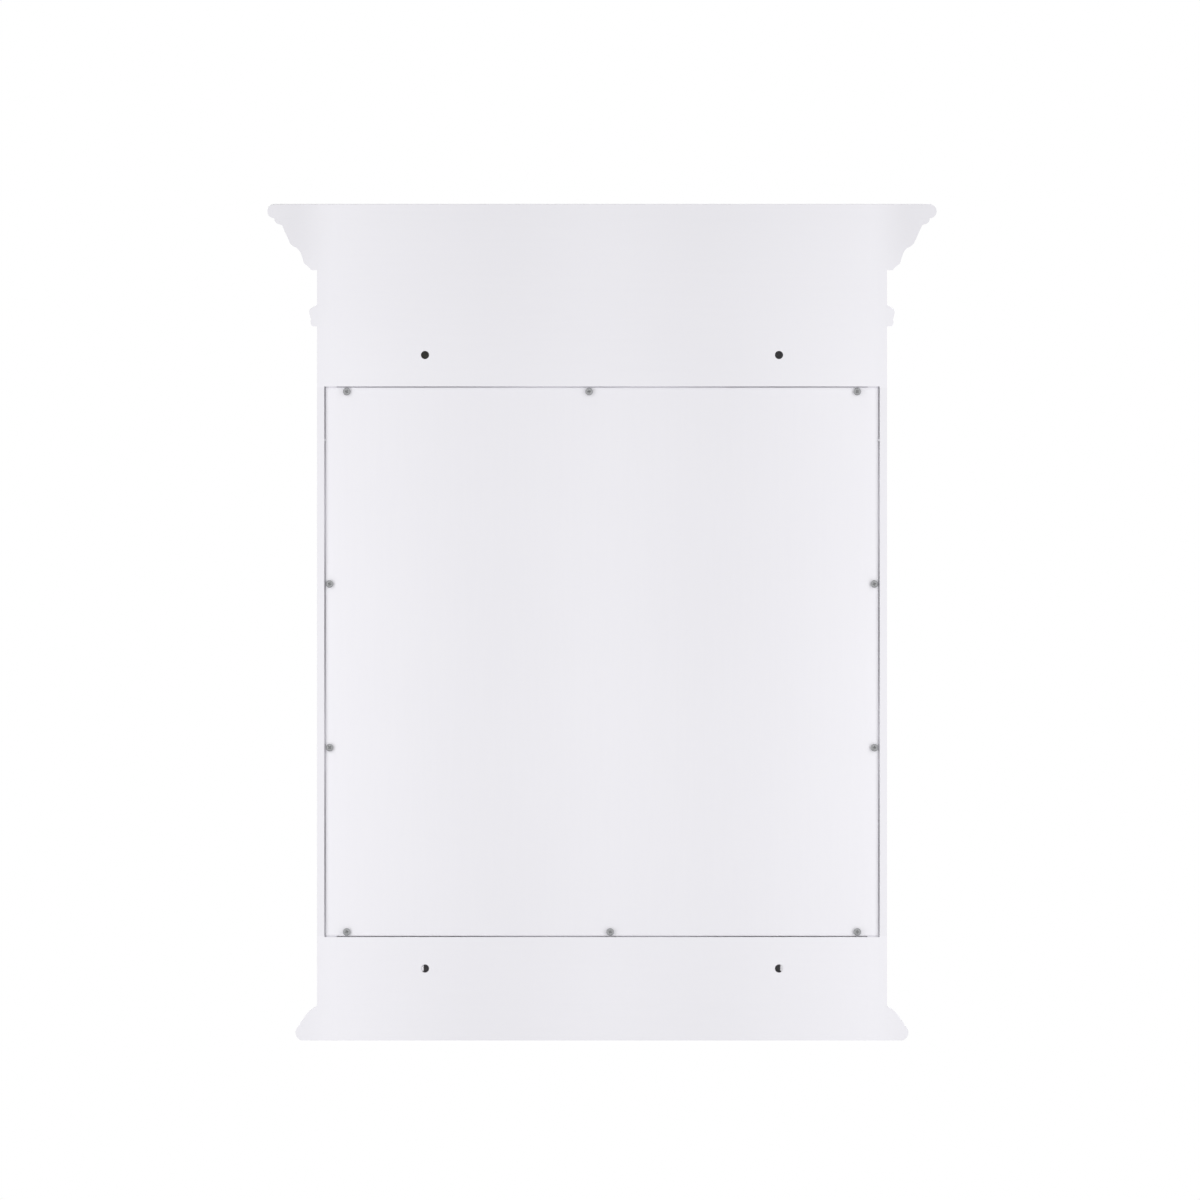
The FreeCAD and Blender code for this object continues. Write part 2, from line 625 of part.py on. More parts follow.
def face_rail(outer, door_edge, tenon_place):
    """A rail of the face frame, rounded along the edge that meets the door."""
    rail = bar("x", (-OPENING_HALF_WIDTH, OPENING_HALF_WIDTH), [
        (FRONT, outer, 0),
        (FRAME_BACK, outer, 0),
        (FRAME_BACK, door_edge, 0),
        (FRONT, door_edge, FRAME_EDGE_RADIUS),
    ])
    return rail.fuse(both_sides([tenon(OPENING_HALF_WIDTH, *tenon_place)])).removeSplitter()


# Door

def door_section(outer, sight):
    """Section of a door member, as (across, y, radius): ovolo at the sight edge, mirror rebate behind it."""
    flat = sight + math.copysign(STICKING_WIDTH, outer - sight)
    return [
        (outer, FRONT, DOOR_EDGE_RADIUS),
        (flat, FRONT, 0),
        (flat, FRONT + STICKING_QUIRK, 0),
        (sight, FRONT + STICKING_QUIRK, STICKING_RADIUS),
        (sight, MIRROR_SEAT, 0),
        (flat, MIRROR_SEAT, 0),
        (flat, FRAME_BACK, 0),
        (outer, FRAME_BACK, FRAME_EDGE_RADIUS),
    ]


def door_stile():
    """The right stile of the door: full height, with its moulded edge mitred to the rails'."""
    stile = bar("z", (DOOR_BOTTOM, DOOR_TOP), door_section(DOOR_X, SIGHT_X))
    stile = stile.common(through_frame([
        (DOOR_X, DOOR_BOTTOM), (DOOR_X, DOOR_TOP), (FLAT_X, DOOR_TOP), (FLAT_X, FLAT_TOP),
        (SIGHT_X, SIGHT_TOP), (SIGHT_X, SIGHT_BOTTOM), (FLAT_X, FLAT_BOTTOM), (FLAT_X, DOOR_BOTTOM),
    ]))
    return stile.cut(mortises(FLAT_X, DOOR_RAILS))


def door_rail(outer, flat, sight, tenon_place):
    """A rail of the door, between the stiles, with a tenon at each end."""
    section = [(y, z, radius) for z, y, radius in door_section(outer, sight)]
    rail = bar("x", (-FLAT_X, FLAT_X), section).common(through_frame([
        (-FLAT_X, outer), (FLAT_X, outer), (FLAT_X, flat),
        (SIGHT_X, sight), (-SIGHT_X, sight), (-FLAT_X, flat),
    ]))
    return rail.fuse(both_sides([tenon(FLAT_X, *tenon_place)])).removeSplitter()


def mirror_outline(inset, y):
    """A rectangle `inset` from the mirror's edges."""
    x = FLAT_X - MIRROR_CLEARANCE - inset
    bottom, top = FLAT_BOTTOM + MIRROR_CLEARANCE + inset, FLAT_TOP - MIRROR_CLEARANCE - inset
    corners = [(-x, bottom), (x, bottom), (x, top), (-x, top), (-x, bottom)]
    return Part.makePolygon([Vector(u, y, v) for u, v in corners])


def mirror_glass():
    """The mirror: a plate with a wide bevel round its front."""
    bevel_foot = mirror_outline(0, MIRROR_FRONT + BEVEL_DROP)
    plate = Part.Face(bevel_foot).extrude(TO_WALL * BEVEL_EDGE_THICKNESS)
    bevel = Part.makeLoft([bevel_foot, mirror_outline(BEVEL_WIDTH, MIRROR_FRONT)], True, True)
    return plate.fuse(bevel).removeSplitter()


def mirror_backing():
    return Part.Face(mirror_outline(0, MIRROR_BACK)).extrude(TO_WALL * BACKING_THICKNESS)


def mirror_beads():
    """Four mitred beads that fill the rebate behind the backing, rounded towards the mirror's middle."""
    x, bottom, top = FLAT_X - BEAD_CLEARANCE, FLAT_BOTTOM + BEAD_CLEARANCE, FLAT_TOP - BEAD_CLEARANCE
    inner_x, inner_bottom, inner_top = x - BEAD_WIDTH, bottom + BEAD_WIDTH, top - BEAD_WIDTH

    def section(outer, inner):
        return [
            (outer, BACKING_BACK, 0),
            (inner, BACKING_BACK, 0),
            (inner, FRAME_BACK, min(BEAD_RADIUS, BEAD_THICKNESS)),
            (outer, FRAME_BACK, 0),
        ]

    right = bar("z", (bottom, top), section(x, inner_x)).common(through_frame([
        (x, bottom), (x, top), (inner_x, inner_top), (inner_x, inner_bottom),
    ]))
    beads = {"mirror_bead_right": right, "mirror_bead_left": mirrored(right)}
    for end, outer, inner in (("bottom", bottom, inner_bottom), ("top", top, inner_top)):
        bead = bar("x", (-x, x), [(y, z, radius) for z, y, radius in section(outer, inner)])
        region = through_frame([(-x, outer), (x, outer), (inner_x, inner), (-inner_x, inner)])
        beads["mirror_bead_" + end] = bead.common(region)
    return beads


# Butt hinges. A side of -1 is the leaf on the face frame, and 1 is the leaf on the door.

def leaf_face(side):
    """X of the side of a leaf that faces the other leaf."""
    return HINGE_X + side * LEAF_GAP / 2


def leaf_block(side, height, front):
    """The plate of a leaf from a given Y inwards, which is also the seat that the wood has for it."""
    face = leaf_face(side)
    z = (height - HINGE_HEIGHT / 2, height + HINGE_HEIGHT / 2)
    return box((face, face + side * LEAF_THICKNESS), (front, FRONT + LEAF_WIDTH), z)


def leaf_screws(side, height, grow=0.0):
    """The two countersunk screws of a leaf, or with `grow` the holes for them."""
    reach = HINGE_HEIGHT / 2 - HINGE_SCREW_TO_END
    seats = [Vector(leaf_face(side), FRONT + LEAF_WIDTH / 2, z) for z in (height - reach, height + reach)]
    head = (HINGE_SCREW_HEAD_DIAMETER, LEAF_THICKNESS)
    shank = (HINGE_SCREW_SHANK_DIAMETER, HINGE_SCREW_LENGTH)
    return [flat_screw(seat, TO_RIGHT * side, *head, *shank, grow) for seat in seats]


def knuckle(height, index, diameter, gap):
    """The place of one knuckle, shorter by `gap` in all."""
    pitch = HINGE_HEIGHT / KNUCKLE_COUNT
    bottom = height - HINGE_HEIGHT / 2 + index * pitch + gap / 2
    return cylinder(Vector(HINGE_X, HINGE_Y, bottom), UP, diameter, pitch - gap)


def hinge_leaf(side, height):
    """One leaf of a hinge: its plate and every other knuckle, cut clear of the other leaf's knuckles."""
    own = range(0 if side < 0 else 1, KNUCKLE_COUNT, 2)
    others = [i for i in range(KNUCKLE_COUNT) if i not in own]
    bore = cylinder(
        Vector(HINGE_X, HINGE_Y, height - HINGE_HEIGHT), UP,
        HINGE_PIN_DIAMETER + 2 * HINGE_PIN_CLEARANCE, 2 * HINGE_HEIGHT,
    )
    room = [knuckle(height, i, KNUCKLE_DIAMETER + 2 * KNUCKLE_GAP, -KNUCKLE_GAP) for i in others]
    knuckles = [knuckle(height, i, KNUCKLE_DIAMETER, KNUCKLE_GAP) for i in own]
    leaf = leaf_block(side, height, HINGE_Y).fuse(knuckles).removeSplitter()
    return leaf.cut(room + [bore] + leaf_screws(side, height, SCREW_CLEARANCE))


def hinge_pin(height):
    """The pin, with a turned tip beyond each end of the barrel."""
    start = Vector(HINGE_X, HINGE_Y, height - HINGE_HEIGHT / 2)
    end = start + UP * HINGE_HEIGHT
    tip = (KNUCKLE_DIAMETER / 2, KNUCKLE_DIAMETER / 4, HINGE_TIP_HEIGHT)
    pin = cylinder(start, UP, HINGE_PIN_DIAMETER, HINGE_HEIGHT)
    return pin.fuse([Part.makeCone(*tip, start, -UP), Part.makeCone(*tip, end, UP)]).removeSplitter()


def hinge_screws(side):
    return [one for height in HINGE_HEIGHTS.values() for one in leaf_screws(side, height)]


def hinge_seats(side):
    """What the leaves and their screws take out of the stile that carries them."""
    tools = []
    for height in HINGE_HEIGHTS.values():
        tools += [leaf_block(side, height, FRONT - MARGIN)] + leaf_screws(side, height, SCREW_CLEARANCE)
    return tools


# Knob, made upright and then turned onto the front of the door

def knob_seat(depth):
    """A point on the knob's axis, at a depth behind the front of the door."""
    return Vector(KNOB_X, FRONT + depth, KNOB_HEIGHT)


def turned(stretches):
    """A turned piece from points (radius, distance from the door, rise)."""
    section = risen_face(stretches, lambda radius, out: Vector(radius, 0, out))
    return stand(section.revolve(Vector(), UP, 360), knob_seat(0), TO_ROOM)


def knob():
    """A mushroom knob on a waisted neck: from the top of its dome round its rim and down to its foot."""
    neck, edge = KNOB_NECK_DIAMETER / 2, KNOB_DIAMETER / 2 - KNOB_RIM
    foot = ROSETTE_THICKNESS
    under = foot + KNOB_NECK_LENGTH
    rim = under + KNOB_UNDERSIDE
    dome = rim + KNOB_RIM_HEIGHT
    top = dome + KNOB_DOME
    dome_rise = math.hypot(edge, KNOB_DOME) / 2 * math.tan(math.atan2(KNOB_DOME, edge) / 2)
    piece = turned([
        (0, top, dome_rise),
        (edge, dome, KNOB_RIM),
        (edge, rim, 0),
        (neck, under, -KNOB_WAIST),
        (neck, foot, 0),
        (0, foot, 0),
    ])
    return piece.cut(shank_hole(knob_seat(0), TO_ROOM, KNOB_SCREW_DIAMETER, foot + KNOB_SCREW_BITE))


def knob_screw_hole():
    """The hole for the knob's screw through the door and the rosette."""
    length = FRAME_THICKNESS + ROSETTE_THICKNESS
    return shank_hole(knob_seat(FRAME_THICKNESS), TO_ROOM, KNOB_SCREW_DIAMETER, length)


def rosette():
    """The thin turned plate between the knob and the door."""
    land = KNOB_NECK_DIAMETER / 2 + ROSETTE_LAND
    outer = land + ROSETTE_SLOPE
    plate = turned([
        (0, ROSETTE_THICKNESS, 0),
        (land, ROSETTE_THICKNESS, ROSETTE_RISE),
        (outer, ROSETTE_EDGE, 0),
        (outer, 0, 0),
        (0, 0, 0),
    ])
    return plate.cut(knob_screw_hole())


def knob_screw():
    """A machine screw from inside the door into the knob."""
    length = FRAME_THICKNESS + ROSETTE_THICKNESS + KNOB_SCREW_BITE
    head = (KNOB_SCREW_HEAD_DIAMETER, KNOB_SCREW_HEAD_HEIGHT)
    return pan_screw(knob_seat(FRAME_THICKNESS), TO_WALL, *head, KNOB_SCREW_DIAMETER, length)


# Magnetic catch and strike plate

def catch_span(length):
    """X limits of something centred on the catch."""
    return CATCH_X - length / 2, CATCH_X + length / 2


def catch_screw_seats():
    x = (CATCH_LENGTH + CATCH_EAR) / 2
    y, z = CATCH_FRONT + CATCH_DEPTH / 2, CEILING_HEIGHT - CATCH_EAR_THICKNESS
    return [Vector(CATCH_X - x, y, z), Vector(CATCH_X + x, y, z)]


def catch_screw_holes():
    shank = (CATCH_SCREW_SHANK_DIAMETER, CATCH_SCREW_LENGTH)
    return [shank_hole(seat, UP, *shank) for seat in catch_screw_seats()]


def catch_body():
    """A moulded housing with a screw ear at each end and a pocket for the magnet between its pole plates."""
    y = (CATCH_FRONT, CATCH_FRONT + CATCH_DEPTH)
    ear_z = (CEILING_HEIGHT - CATCH_EAR_THICKNESS, CEILING_HEIGHT)
    housing = box(catch_span(CATCH_LENGTH), y, (CATCH_BOTTOM, CEILING_HEIGHT))
    ears = box(catch_span(CATCH_LENGTH + 2 * CATCH_EAR), y, ear_z)
    pocket = box(
        catch_span(MAGNET_LENGTH + 2 * CATCH_CLEARANCE),
        (CATCH_FRONT - MARGIN, CATCH_FRONT + MAGNET_DEPTH),
        (LOWER_POLE_BOTTOM, UPPER_POLE_TOP),
    )
    return housing.fuse(ears).removeSplitter().cut([pocket] + catch_screw_holes())


def catch_magnet():
    y = (CATCH_FRONT, CATCH_FRONT + MAGNET_DEPTH)
    return box(catch_span(MAGNET_LENGTH), y, (MAGNET_BOTTOM, MAGNET_TOP))


def pole_plates():
    x, y = catch_span(MAGNET_LENGTH), (CATCH_FRONT - POLE_PROUD, CATCH_FRONT + MAGNET_DEPTH)
    return [box(x, y, (LOWER_POLE_BOTTOM, MAGNET_BOTTOM)), box(x, y, (MAGNET_TOP, UPPER_POLE_TOP))]


def catch_screws():
    head = (CATCH_SCREW_HEAD_DIAMETER, CATCH_SCREW_HEAD_HEIGHT)
    shank = (CATCH_SCREW_SHANK_DIAMETER, CATCH_SCREW_LENGTH)
    return [pan_screw(seat, -UP, *head, *shank) for seat in catch_screw_seats()]


def strike_screw(grow=0.0):
    """The countersunk screw of the strike plate, or with `grow` the hole for it."""
    head = (STRIKE_SCREW_HEAD_DIAMETER, STRIKE_THICKNESS)
    shank = (STRIKE_SCREW_SHANK_DIAMETER, STRIKE_SCREW_LENGTH)
    return flat_screw(Vector(CATCH_X, STRIKE_BACK, STRIKE_MIDDLE), TO_ROOM, *head, *shank, grow)


def strike_plate():
    """The steel plate on the door that the magnet holds, level with the two pole plates."""
    z = (STRIKE_MIDDLE - STRIKE_HEIGHT / 2, STRIKE_MIDDLE + STRIKE_HEIGHT / 2)
    return box(catch_span(STRIKE_LENGTH), (FRAME_BACK, STRIKE_BACK), z).cut(strike_screw(SCREW_CLEARANCE))


# The whole cabinet, with one entry for each node

def carcass_pieces():
    side = side_panel()
    stile = face_stile()
    made = {
        "side_panel_right": side,
        "side_panel_left": mirrored(side),
        "upper_hanging_rail": hanging_rail(UPPER_RAIL_TOP, PANEL_OPENING_TOP),
        "lower_hanging_rail": hanging_rail(BASE_RAIL_HEIGHT, PANEL_OPENING_BOTTOM),
        "cornice_back_rail": plain_rail(UPPER_RAIL_TOP, CARCASS_HEIGHT),
        "base_back_rail": plain_rail(0, BASE_RAIL_HEIGHT),
        "bottom_board": inner_board(FLOOR_HEIGHT - INNER_BOARD_THICKNESS),
        "inner_top_board": inner_board(CEILING_HEIGHT).cut(catch_screw_holes()),
        "carcass_dowels": dowels(0),
        "back_panel": back_panel(),
        "back_panel_screws": panel_screws(),
        "cap_board": cap_board(),
        "face_stile_right": stile,
        "face_stile_left": mirrored(stile).cut(hinge_seats(-1)),
        "face_rail": face_rail(0, FACE_RAIL_HEIGHT, FACE_RAILS["face_rail"]),
        "frieze_rail": face_rail(CARCASS_HEIGHT, OPENING_TOP, FACE_RAILS["frieze_rail"]),
        "shelf_pins": shelf_pins(),
    }
    made.update(moulding("crown", CROWN_STEPS, CROWN_PROJECTION, CARCASS_HEIGHT))
    made.update(moulding("astragal", ASTRAGAL_STEPS, 0, ASTRAGAL_TOP))
    made.update(moulding("base", BASE_STEPS, 0, BASE_HEIGHT))
    made.update({name: shelf(height) for name, height in zip(SHELF_NAMES, shelf_pin_heights())})
    return made


def door_pieces():
    stile = door_stile()
    top_rail = door_rail(DOOR_TOP, FLAT_TOP, SIGHT_TOP, DOOR_RAILS["door_rail_top"])
    made = {
        "door_stile_knob": stile.cut(knob_screw_hole()),
        "door_stile_hinge": mirrored(stile).cut(hinge_seats(1)),
        "door_rail_top": top_rail.cut(strike_screw(SCREW_CLEARANCE)),
        "door_rail_bottom": door_rail(DOOR_BOTTOM, FLAT_BOTTOM, SIGHT_BOTTOM, DOOR_RAILS["door_rail_bottom"]),
        "mirror_glass": mirror_glass(),
        "mirror_backing": mirror_backing(),
        "knob": knob(),
        "knob_rosette": rosette(),
        "knob_screw": knob_screw(),
        "strike_plate": strike_plate(),
        "strike_screw": strike_screw(),
    }
    made.update(mirror_beads())
    return made


def hardware_pieces():
    made = {
        "frame_hinge_screws": hinge_screws(-1),
        "door_hinge_screws": hinge_screws(1),
        "catch_body": catch_body(),
        "catch_magnet": catch_magnet(),
        "catch_pole_plates": pole_plates(),
        "catch_screws": catch_screws(),
    }
    for name, height in HINGE_HEIGHTS.items():
        made[name + "_hinge_frame_leaf"] = hinge_leaf(-1, height)
        made[name + "_hinge_door_leaf"] = hinge_leaf(1, height)
        made[name + "_hinge_pin"] = hinge_pin(height)
    return made


def export(made):
    """Writes each node to its own STEP file, with the origin in the middle of the wall holes."""
    os.makedirs("parts", exist_ok=True)
    for name, shape in made.items():
        solids = shape if isinstance(shape, list) else shape.Solids
        whole = solids[0] if len(solids) == 1 else Part.makeCompound(solids)
        whole = whole.translated(UP * -ORIGIN_HEIGHT)
        whole.exportStep(f"parts/{name}.step")
        print(f"{name}: {len(solids)} solid(s), {whole.Volume / 1000:.2f} cm3, valid {whole.isValid()}")


export({**carcass_pieces(), **door_pieces(), **hardware_pieces()})
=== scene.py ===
# %% [markdown]
# # Dressing a medicine cabinet
#
# The cabinet comes from a CAD model: boards, mouldings, mirror door, hinges and screws, all of them in named
# nodes, at real size and in the right place. A CAD model has no finish, and its small fasteners are plain.
# This lesson gives every surface its finish, models the small things that the CAD model leaves plain, and
# sets up the camera and the light. Nothing of the CAD model is moved.

# %% Load the cabinet
import json
import math

import bmesh
import bpy
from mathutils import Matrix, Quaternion, Vector


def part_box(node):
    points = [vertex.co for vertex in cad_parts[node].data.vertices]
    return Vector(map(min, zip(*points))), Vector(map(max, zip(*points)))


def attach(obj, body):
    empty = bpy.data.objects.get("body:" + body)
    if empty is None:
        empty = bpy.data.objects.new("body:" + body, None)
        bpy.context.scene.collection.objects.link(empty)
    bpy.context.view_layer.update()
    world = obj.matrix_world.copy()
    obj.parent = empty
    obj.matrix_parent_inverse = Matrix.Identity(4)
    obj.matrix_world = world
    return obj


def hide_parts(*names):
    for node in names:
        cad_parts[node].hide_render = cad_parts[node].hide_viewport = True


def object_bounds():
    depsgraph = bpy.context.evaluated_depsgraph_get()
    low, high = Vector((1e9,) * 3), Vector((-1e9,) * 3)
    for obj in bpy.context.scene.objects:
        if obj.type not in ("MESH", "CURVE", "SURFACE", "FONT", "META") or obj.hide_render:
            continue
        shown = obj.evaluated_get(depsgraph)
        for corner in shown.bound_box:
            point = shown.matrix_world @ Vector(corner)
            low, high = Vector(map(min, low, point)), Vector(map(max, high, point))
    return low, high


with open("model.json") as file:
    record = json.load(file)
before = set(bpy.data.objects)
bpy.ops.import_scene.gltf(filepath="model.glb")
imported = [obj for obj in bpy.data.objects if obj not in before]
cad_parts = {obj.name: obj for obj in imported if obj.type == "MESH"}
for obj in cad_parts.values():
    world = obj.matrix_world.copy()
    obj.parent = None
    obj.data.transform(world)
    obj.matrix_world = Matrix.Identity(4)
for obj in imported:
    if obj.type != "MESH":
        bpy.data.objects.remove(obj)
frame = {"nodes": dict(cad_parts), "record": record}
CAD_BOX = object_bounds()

MM = 0.001
NODES = frame["nodes"]
bpy.ops.object.select_all(action="DESELECT")
print("nodes:", len(NODES), "size in mm:", [round(side / MM, 1) for side in CAD_BOX[1] - CAD_BOX[0]])

# %% [markdown]
# ## Places that the dressing needs
#
# The wall is the plane Y = 0 and the room is towards -Y. The places of boards could be typed in, but they
# would go stale when the CAD model changes, so they are read from the boxes of the nodes.

# %% Read places from the nodes
PANEL_GAP = 1.0 * MM  # between the back panel and the edge of its rebate
PANEL_LOW, PANEL_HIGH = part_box("back_panel")
BODY_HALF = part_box("side_panel_right")[1].x
RAIL_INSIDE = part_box("upper_hanging_rail")[0].y  # the face of the rails towards the room
CROWN_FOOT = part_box("crown_right")[0].z
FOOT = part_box("base_back_rail")[0].z
MIDDLE = (CAD_BOX[0] + CAD_BOX[1]) / 2
WALL_HOLES = next(mount for mount in frame["record"]["mounts"] if mount["name"] == "wall_holes")["dims"]
HOLE_X = WALL_HOLES["spacing_x_mm"] / 2 * MM
HOLE_Z = WALL_HOLES["spacing_y_mm"] / 2 * MM
HOLE_RADIUS = WALL_HOLES["hole_r_mm"] * MM
print("back panel from", PANEL_LOW[:], "to", PANEL_HIGH[:], "wall holes at", HOLE_X, HOLE_Z)

# %% [markdown]
# ## Camera
#
# The photograph looks straight at the back of the cabinet from the wall's side, so flat that the steps of
# the mouldings show crisp in its outline: hardly any of their length can be seen behind them. A very long
# lens from far away would draw that, and an orthographic camera draws it from close by. One pixel of the
# 1200 pixel picture is one millimetre, which sets the camera's scale. It looks down by a hair, so that the
# top of the cap is a thin line.

# %% Set the camera
PHOTO_SIZE = 1200
PHOTO_PIXEL = 1.0 * MM
PHOTO_FOOT = (602.0, 1040.5)  # pixel of the middle of the cabinet's foot
CAMERA_DISTANCE = 3.0
PITCH = math.radians(0.2)

target = Vector((
    (PHOTO_FOOT[0] - PHOTO_SIZE / 2) * PHOTO_PIXEL,
    0,
    FOOT + (PHOTO_FOOT[1] - PHOTO_SIZE / 2) * PHOTO_PIXEL,
))
bpy.ops.object.camera_add(
    location=target + CAMERA_DISTANCE * Vector((0, math.cos(PITCH), math.sin(PITCH))),
    rotation=(math.pi / 2 - PITCH, 0, math.pi),
)
camera = bpy.context.object
camera.name = "photo_camera"
camera.data.type = "ORTHO"
camera.data.ortho_scale = PHOTO_SIZE * PHOTO_PIXEL
bpy.context.scene.camera = camera
bpy.context.scene.view_settings.view_transform = "Standard"
print("camera sees", round(camera.data.ortho_scale, 3), "m across")

# %% [markdown]
# ## Shader maths
#
# A finish is a tree of nodes. Written node by node it is long and hard to read, so two small classes help.
# A Wire is one output socket, and arithmetic on wires adds Math nodes. A Finish is a material: its `node`
# method adds any other node, sets its settings first and then links or sets its sockets.

# %% Wires and finishes
class Wire:
    """An output socket of a finish; arithmetic on it adds Math nodes."""

    def __init__(self, finish, socket):
        self.finish = finish
        self.socket = socket

    def math(self, operation, *values):
        return self.finish.node("ShaderNodeMath", {"operation": operation}, dict(enumerate(values)))

    def __add__(self, other):
        return self.math("ADD", self, other)

    def __sub__(self, other):
        return self.math("SUBTRACT", self, other)

    def __rsub__(self, other):
        return self.math("SUBTRACT", other, self)

    def __mul__(self, other):
        return self.math("MULTIPLY", self, other)

    def __pow__(self, other):
        return self.math("POWER", self, other)

    def __abs__(self):
        return self.math("ABSOLUTE", self)

    def __gt__(self, other):
        return self.math("GREATER_THAN", self, other)

    def __lt__(self, other):
        return self.math("LESS_THAN", self, other)

    __radd__ = __add__
    __rmul__ = __mul__

    def least(self, other):
        return self.math("MINIMUM", self, other)

    def most(self, other):
        return self.math("MAXIMUM", self, other)


class Finish:
    """A material with a Principled shader, whose constant values are given by socket name."""

    def __init__(self, name, constants):
        self.material = bpy.data.materials.new(name)
        self.material.use_nodes = True
        self.tree = self.material.node_tree
        self.shader = self.tree.nodes["Principled BSDF"]
        for socket, value in constants.items():
            self.shader.inputs[socket].default_value = value

    def node(self, kind, settings, inputs, output=0):
        made = self.tree.nodes.new(kind)
        for setting, value in settings.items():
            setattr(made, setting, value)
        for socket, value in inputs.items():
            if isinstance(value, Wire):
                self.tree.links.new(value.socket, made.inputs[socket])
            else:
                made.inputs[socket].default_value = value
        return Wire(self, made.outputs[output])

    def place(self):
        """The object coordinates, whole and as x, y and z."""
        whole = self.node("ShaderNodeTexCoord", {}, {}, "Object")
        return [whole] + [self.node("ShaderNodeSeparateXYZ", {}, {0: whole}, axis) for axis in "XYZ"]

    def noise(self, vector, scale, detail, stretch=(1, 1, 1)):
        """Noise with `scale` waves to a metre, squeezed along each axis by `stretch`."""
        sized = tuple(scale * factor for factor in stretch)
        mapped = self.node("ShaderNodeMapping", {}, {"Vector": vector, "Scale": sized})
        return self.node("ShaderNodeTexNoise", {}, {"Vector": mapped, "Scale": 1.0, "Detail": detail})

    def mix(self, share, first, second):
        """A colour between two colours."""
        return self.node("ShaderNodeMix", {"data_type": "RGBA"}, {0: share, 6: first, 7: second}, 2)

    def smooth(self, value, low, high):
        """A step from 0 at low to 1 at high, with soft ends."""
        return self.node(
            "ShaderNodeMapRange", {"interpolation_type": "SMOOTHSTEP"}, {0: value, 1: low, 2: high}
        )

    def bump(self, height, strength, distance, edge=0.0):
        """A normal from a height; with `edge` the corners of the piece look rounded by that radius."""
        inputs = {"Strength": strength, "Distance": distance, "Height": height}
        if edge:
            inputs["Normal"] = self.node("ShaderNodeBevel", {"samples": 6}, {"Radius": edge})
        return self.node("ShaderNodeBump", {}, inputs)

    def feed(self, **wires):
        """Links wires to sockets of the shader, with the socket's name in lower case."""
        for name, wire in wires.items():
            self.tree.links.new(wire.socket, self.shader.inputs[name.replace("_", " ").title()])
        return self.material


print("shader helpers ready")

# %% [markdown]
# ## Light, floor and background
#
# The photograph is a studio picture on pure white, and the back is a trace lighter down its middle and
# towards its left and right edges. Rays from the camera, and those that metal or glass throws back, see a
# white world; all other rays see a dimmer one, which is the soft fill. Two tall lamps close to the sides
# light the back, and a third, far weaker, throws a narrow beam down its middle. They stand so close that an
# open door would mirror them and the floor would show their pools of light, so reflections don't see them,
# and light linking keeps them off the floor, as a flag does in a studio. Two lamps in the room light the
# front, a stronger one and a weaker one so that mouldings show. The floor is a pale disc that fades out into
# the white, so it takes the cabinet's shadow and shows no edge.

# %% World
FILL = 0.58
world = bpy.data.worlds.new("white_studio")
world.use_nodes = True
bpy.context.scene.world = world
tree = world.node_tree
tree.nodes.clear()
path = tree.nodes.new("ShaderNodeLightPath")
seen = path.outputs["Is Camera Ray"]
for ray in ("Is Glossy Ray", "Is Transmission Ray"):
    either = tree.nodes.new("ShaderNodeMath")
    either.operation = "MAXIMUM"
    tree.links.new(seen, either.inputs[0])
    tree.links.new(path.outputs[ray], either.inputs[1])
    seen = either.outputs[0]
choice = tree.nodes.new("ShaderNodeMixShader")
tree.links.new(seen, choice.inputs[0])
for index, strength in ((1, FILL), (2, 1.0)):
    light = tree.nodes.new("ShaderNodeBackground")
    light.inputs["Color"].default_value = (1, 1, 1, 1)
    light.inputs["Strength"].default_value = strength
    tree.links.new(light.outputs[0], choice.inputs[index])
output = tree.nodes.new("ShaderNodeOutputWorld")
tree.links.new(choice.outputs[0], output.inputs["Surface"])
print("world fill", FILL)

# %% Lamps
LAMPS = {
    # name: (offset from the middle of the cabinet, width and height in metres, beam in degrees, watts)
    "back_left": ((0.7, 0.5, -0.02), (0.3, 1.7), 180, 4.14),
    "back_right": ((-0.7, 0.5, -0.02), (0.3, 1.7), 180, 4.14),
    "back_middle": ((0, 1.2, 0), (0.06, 1.2), 12, 0.02),
    "front_key": ((-1.7, -2.3, 1.5), (3.0, 3.0), 180, 41.0),
    "front_fill": ((2.2, -2.0, 0.3), (1.8, 1.8), 180, 7.0),
}
back_lamps = []
for name, (offset, (width, height), beam, watts) in LAMPS.items():
    offset = Vector(offset)
    bpy.ops.object.light_add(type="AREA", location=MIDDLE + offset)
    lamp = bpy.context.object
    lamp.name = name
    lamp.rotation_euler = offset.to_track_quat("Z", "Y").to_euler()
    lamp.data.shape = "RECTANGLE"
    lamp.data.size = width
    lamp.data.size_y = height
    lamp.data.spread = math.radians(beam)
    lamp.data.energy = watts
    lamp.visible_camera = False
    if offset.y > 0:
        lamp.visible_glossy = False
        back_lamps.append(lamp)
    print(name, "at", tuple(round(value, 2) for value in lamp.location), watts, "W")

# %% Floor
FLOOR_DROP = 0.5
FLOOR_RADIUS = 1.5
FLOOR_CLEAR = 0.5  # out to here the floor is solid, and then it fades into the white
bpy.ops.mesh.primitive_circle_add(
    vertices=96, radius=FLOOR_RADIUS, fill_type="NGON", location=(0, MIDDLE.y, FOOT - FLOOR_DROP)
)
floor = bpy.context.object
floor.name = "floor"
bpy.ops.object.transform_apply(location=True)
paper = Finish("floor_paper", {"Base Color": (0.92, 0.92, 0.93, 1), "Roughness": 0.9})
x, y, z = paper.place()[1:]
radius = (x ** 2 + (y - MIDDLE.y) ** 2) ** 0.5
fade = paper.smooth(radius, FLOOR_CLEAR, FLOOR_RADIUS)
clear = paper.node("ShaderNodeBsdfTransparent", {}, {})
faded = paper.node("ShaderNodeMixShader", {}, {0: fade, 1: Wire(paper, paper.shader.outputs[0]), 2: clear})
paper.tree.links.new(faded.socket, paper.tree.nodes["Material Output"].inputs["Surface"])
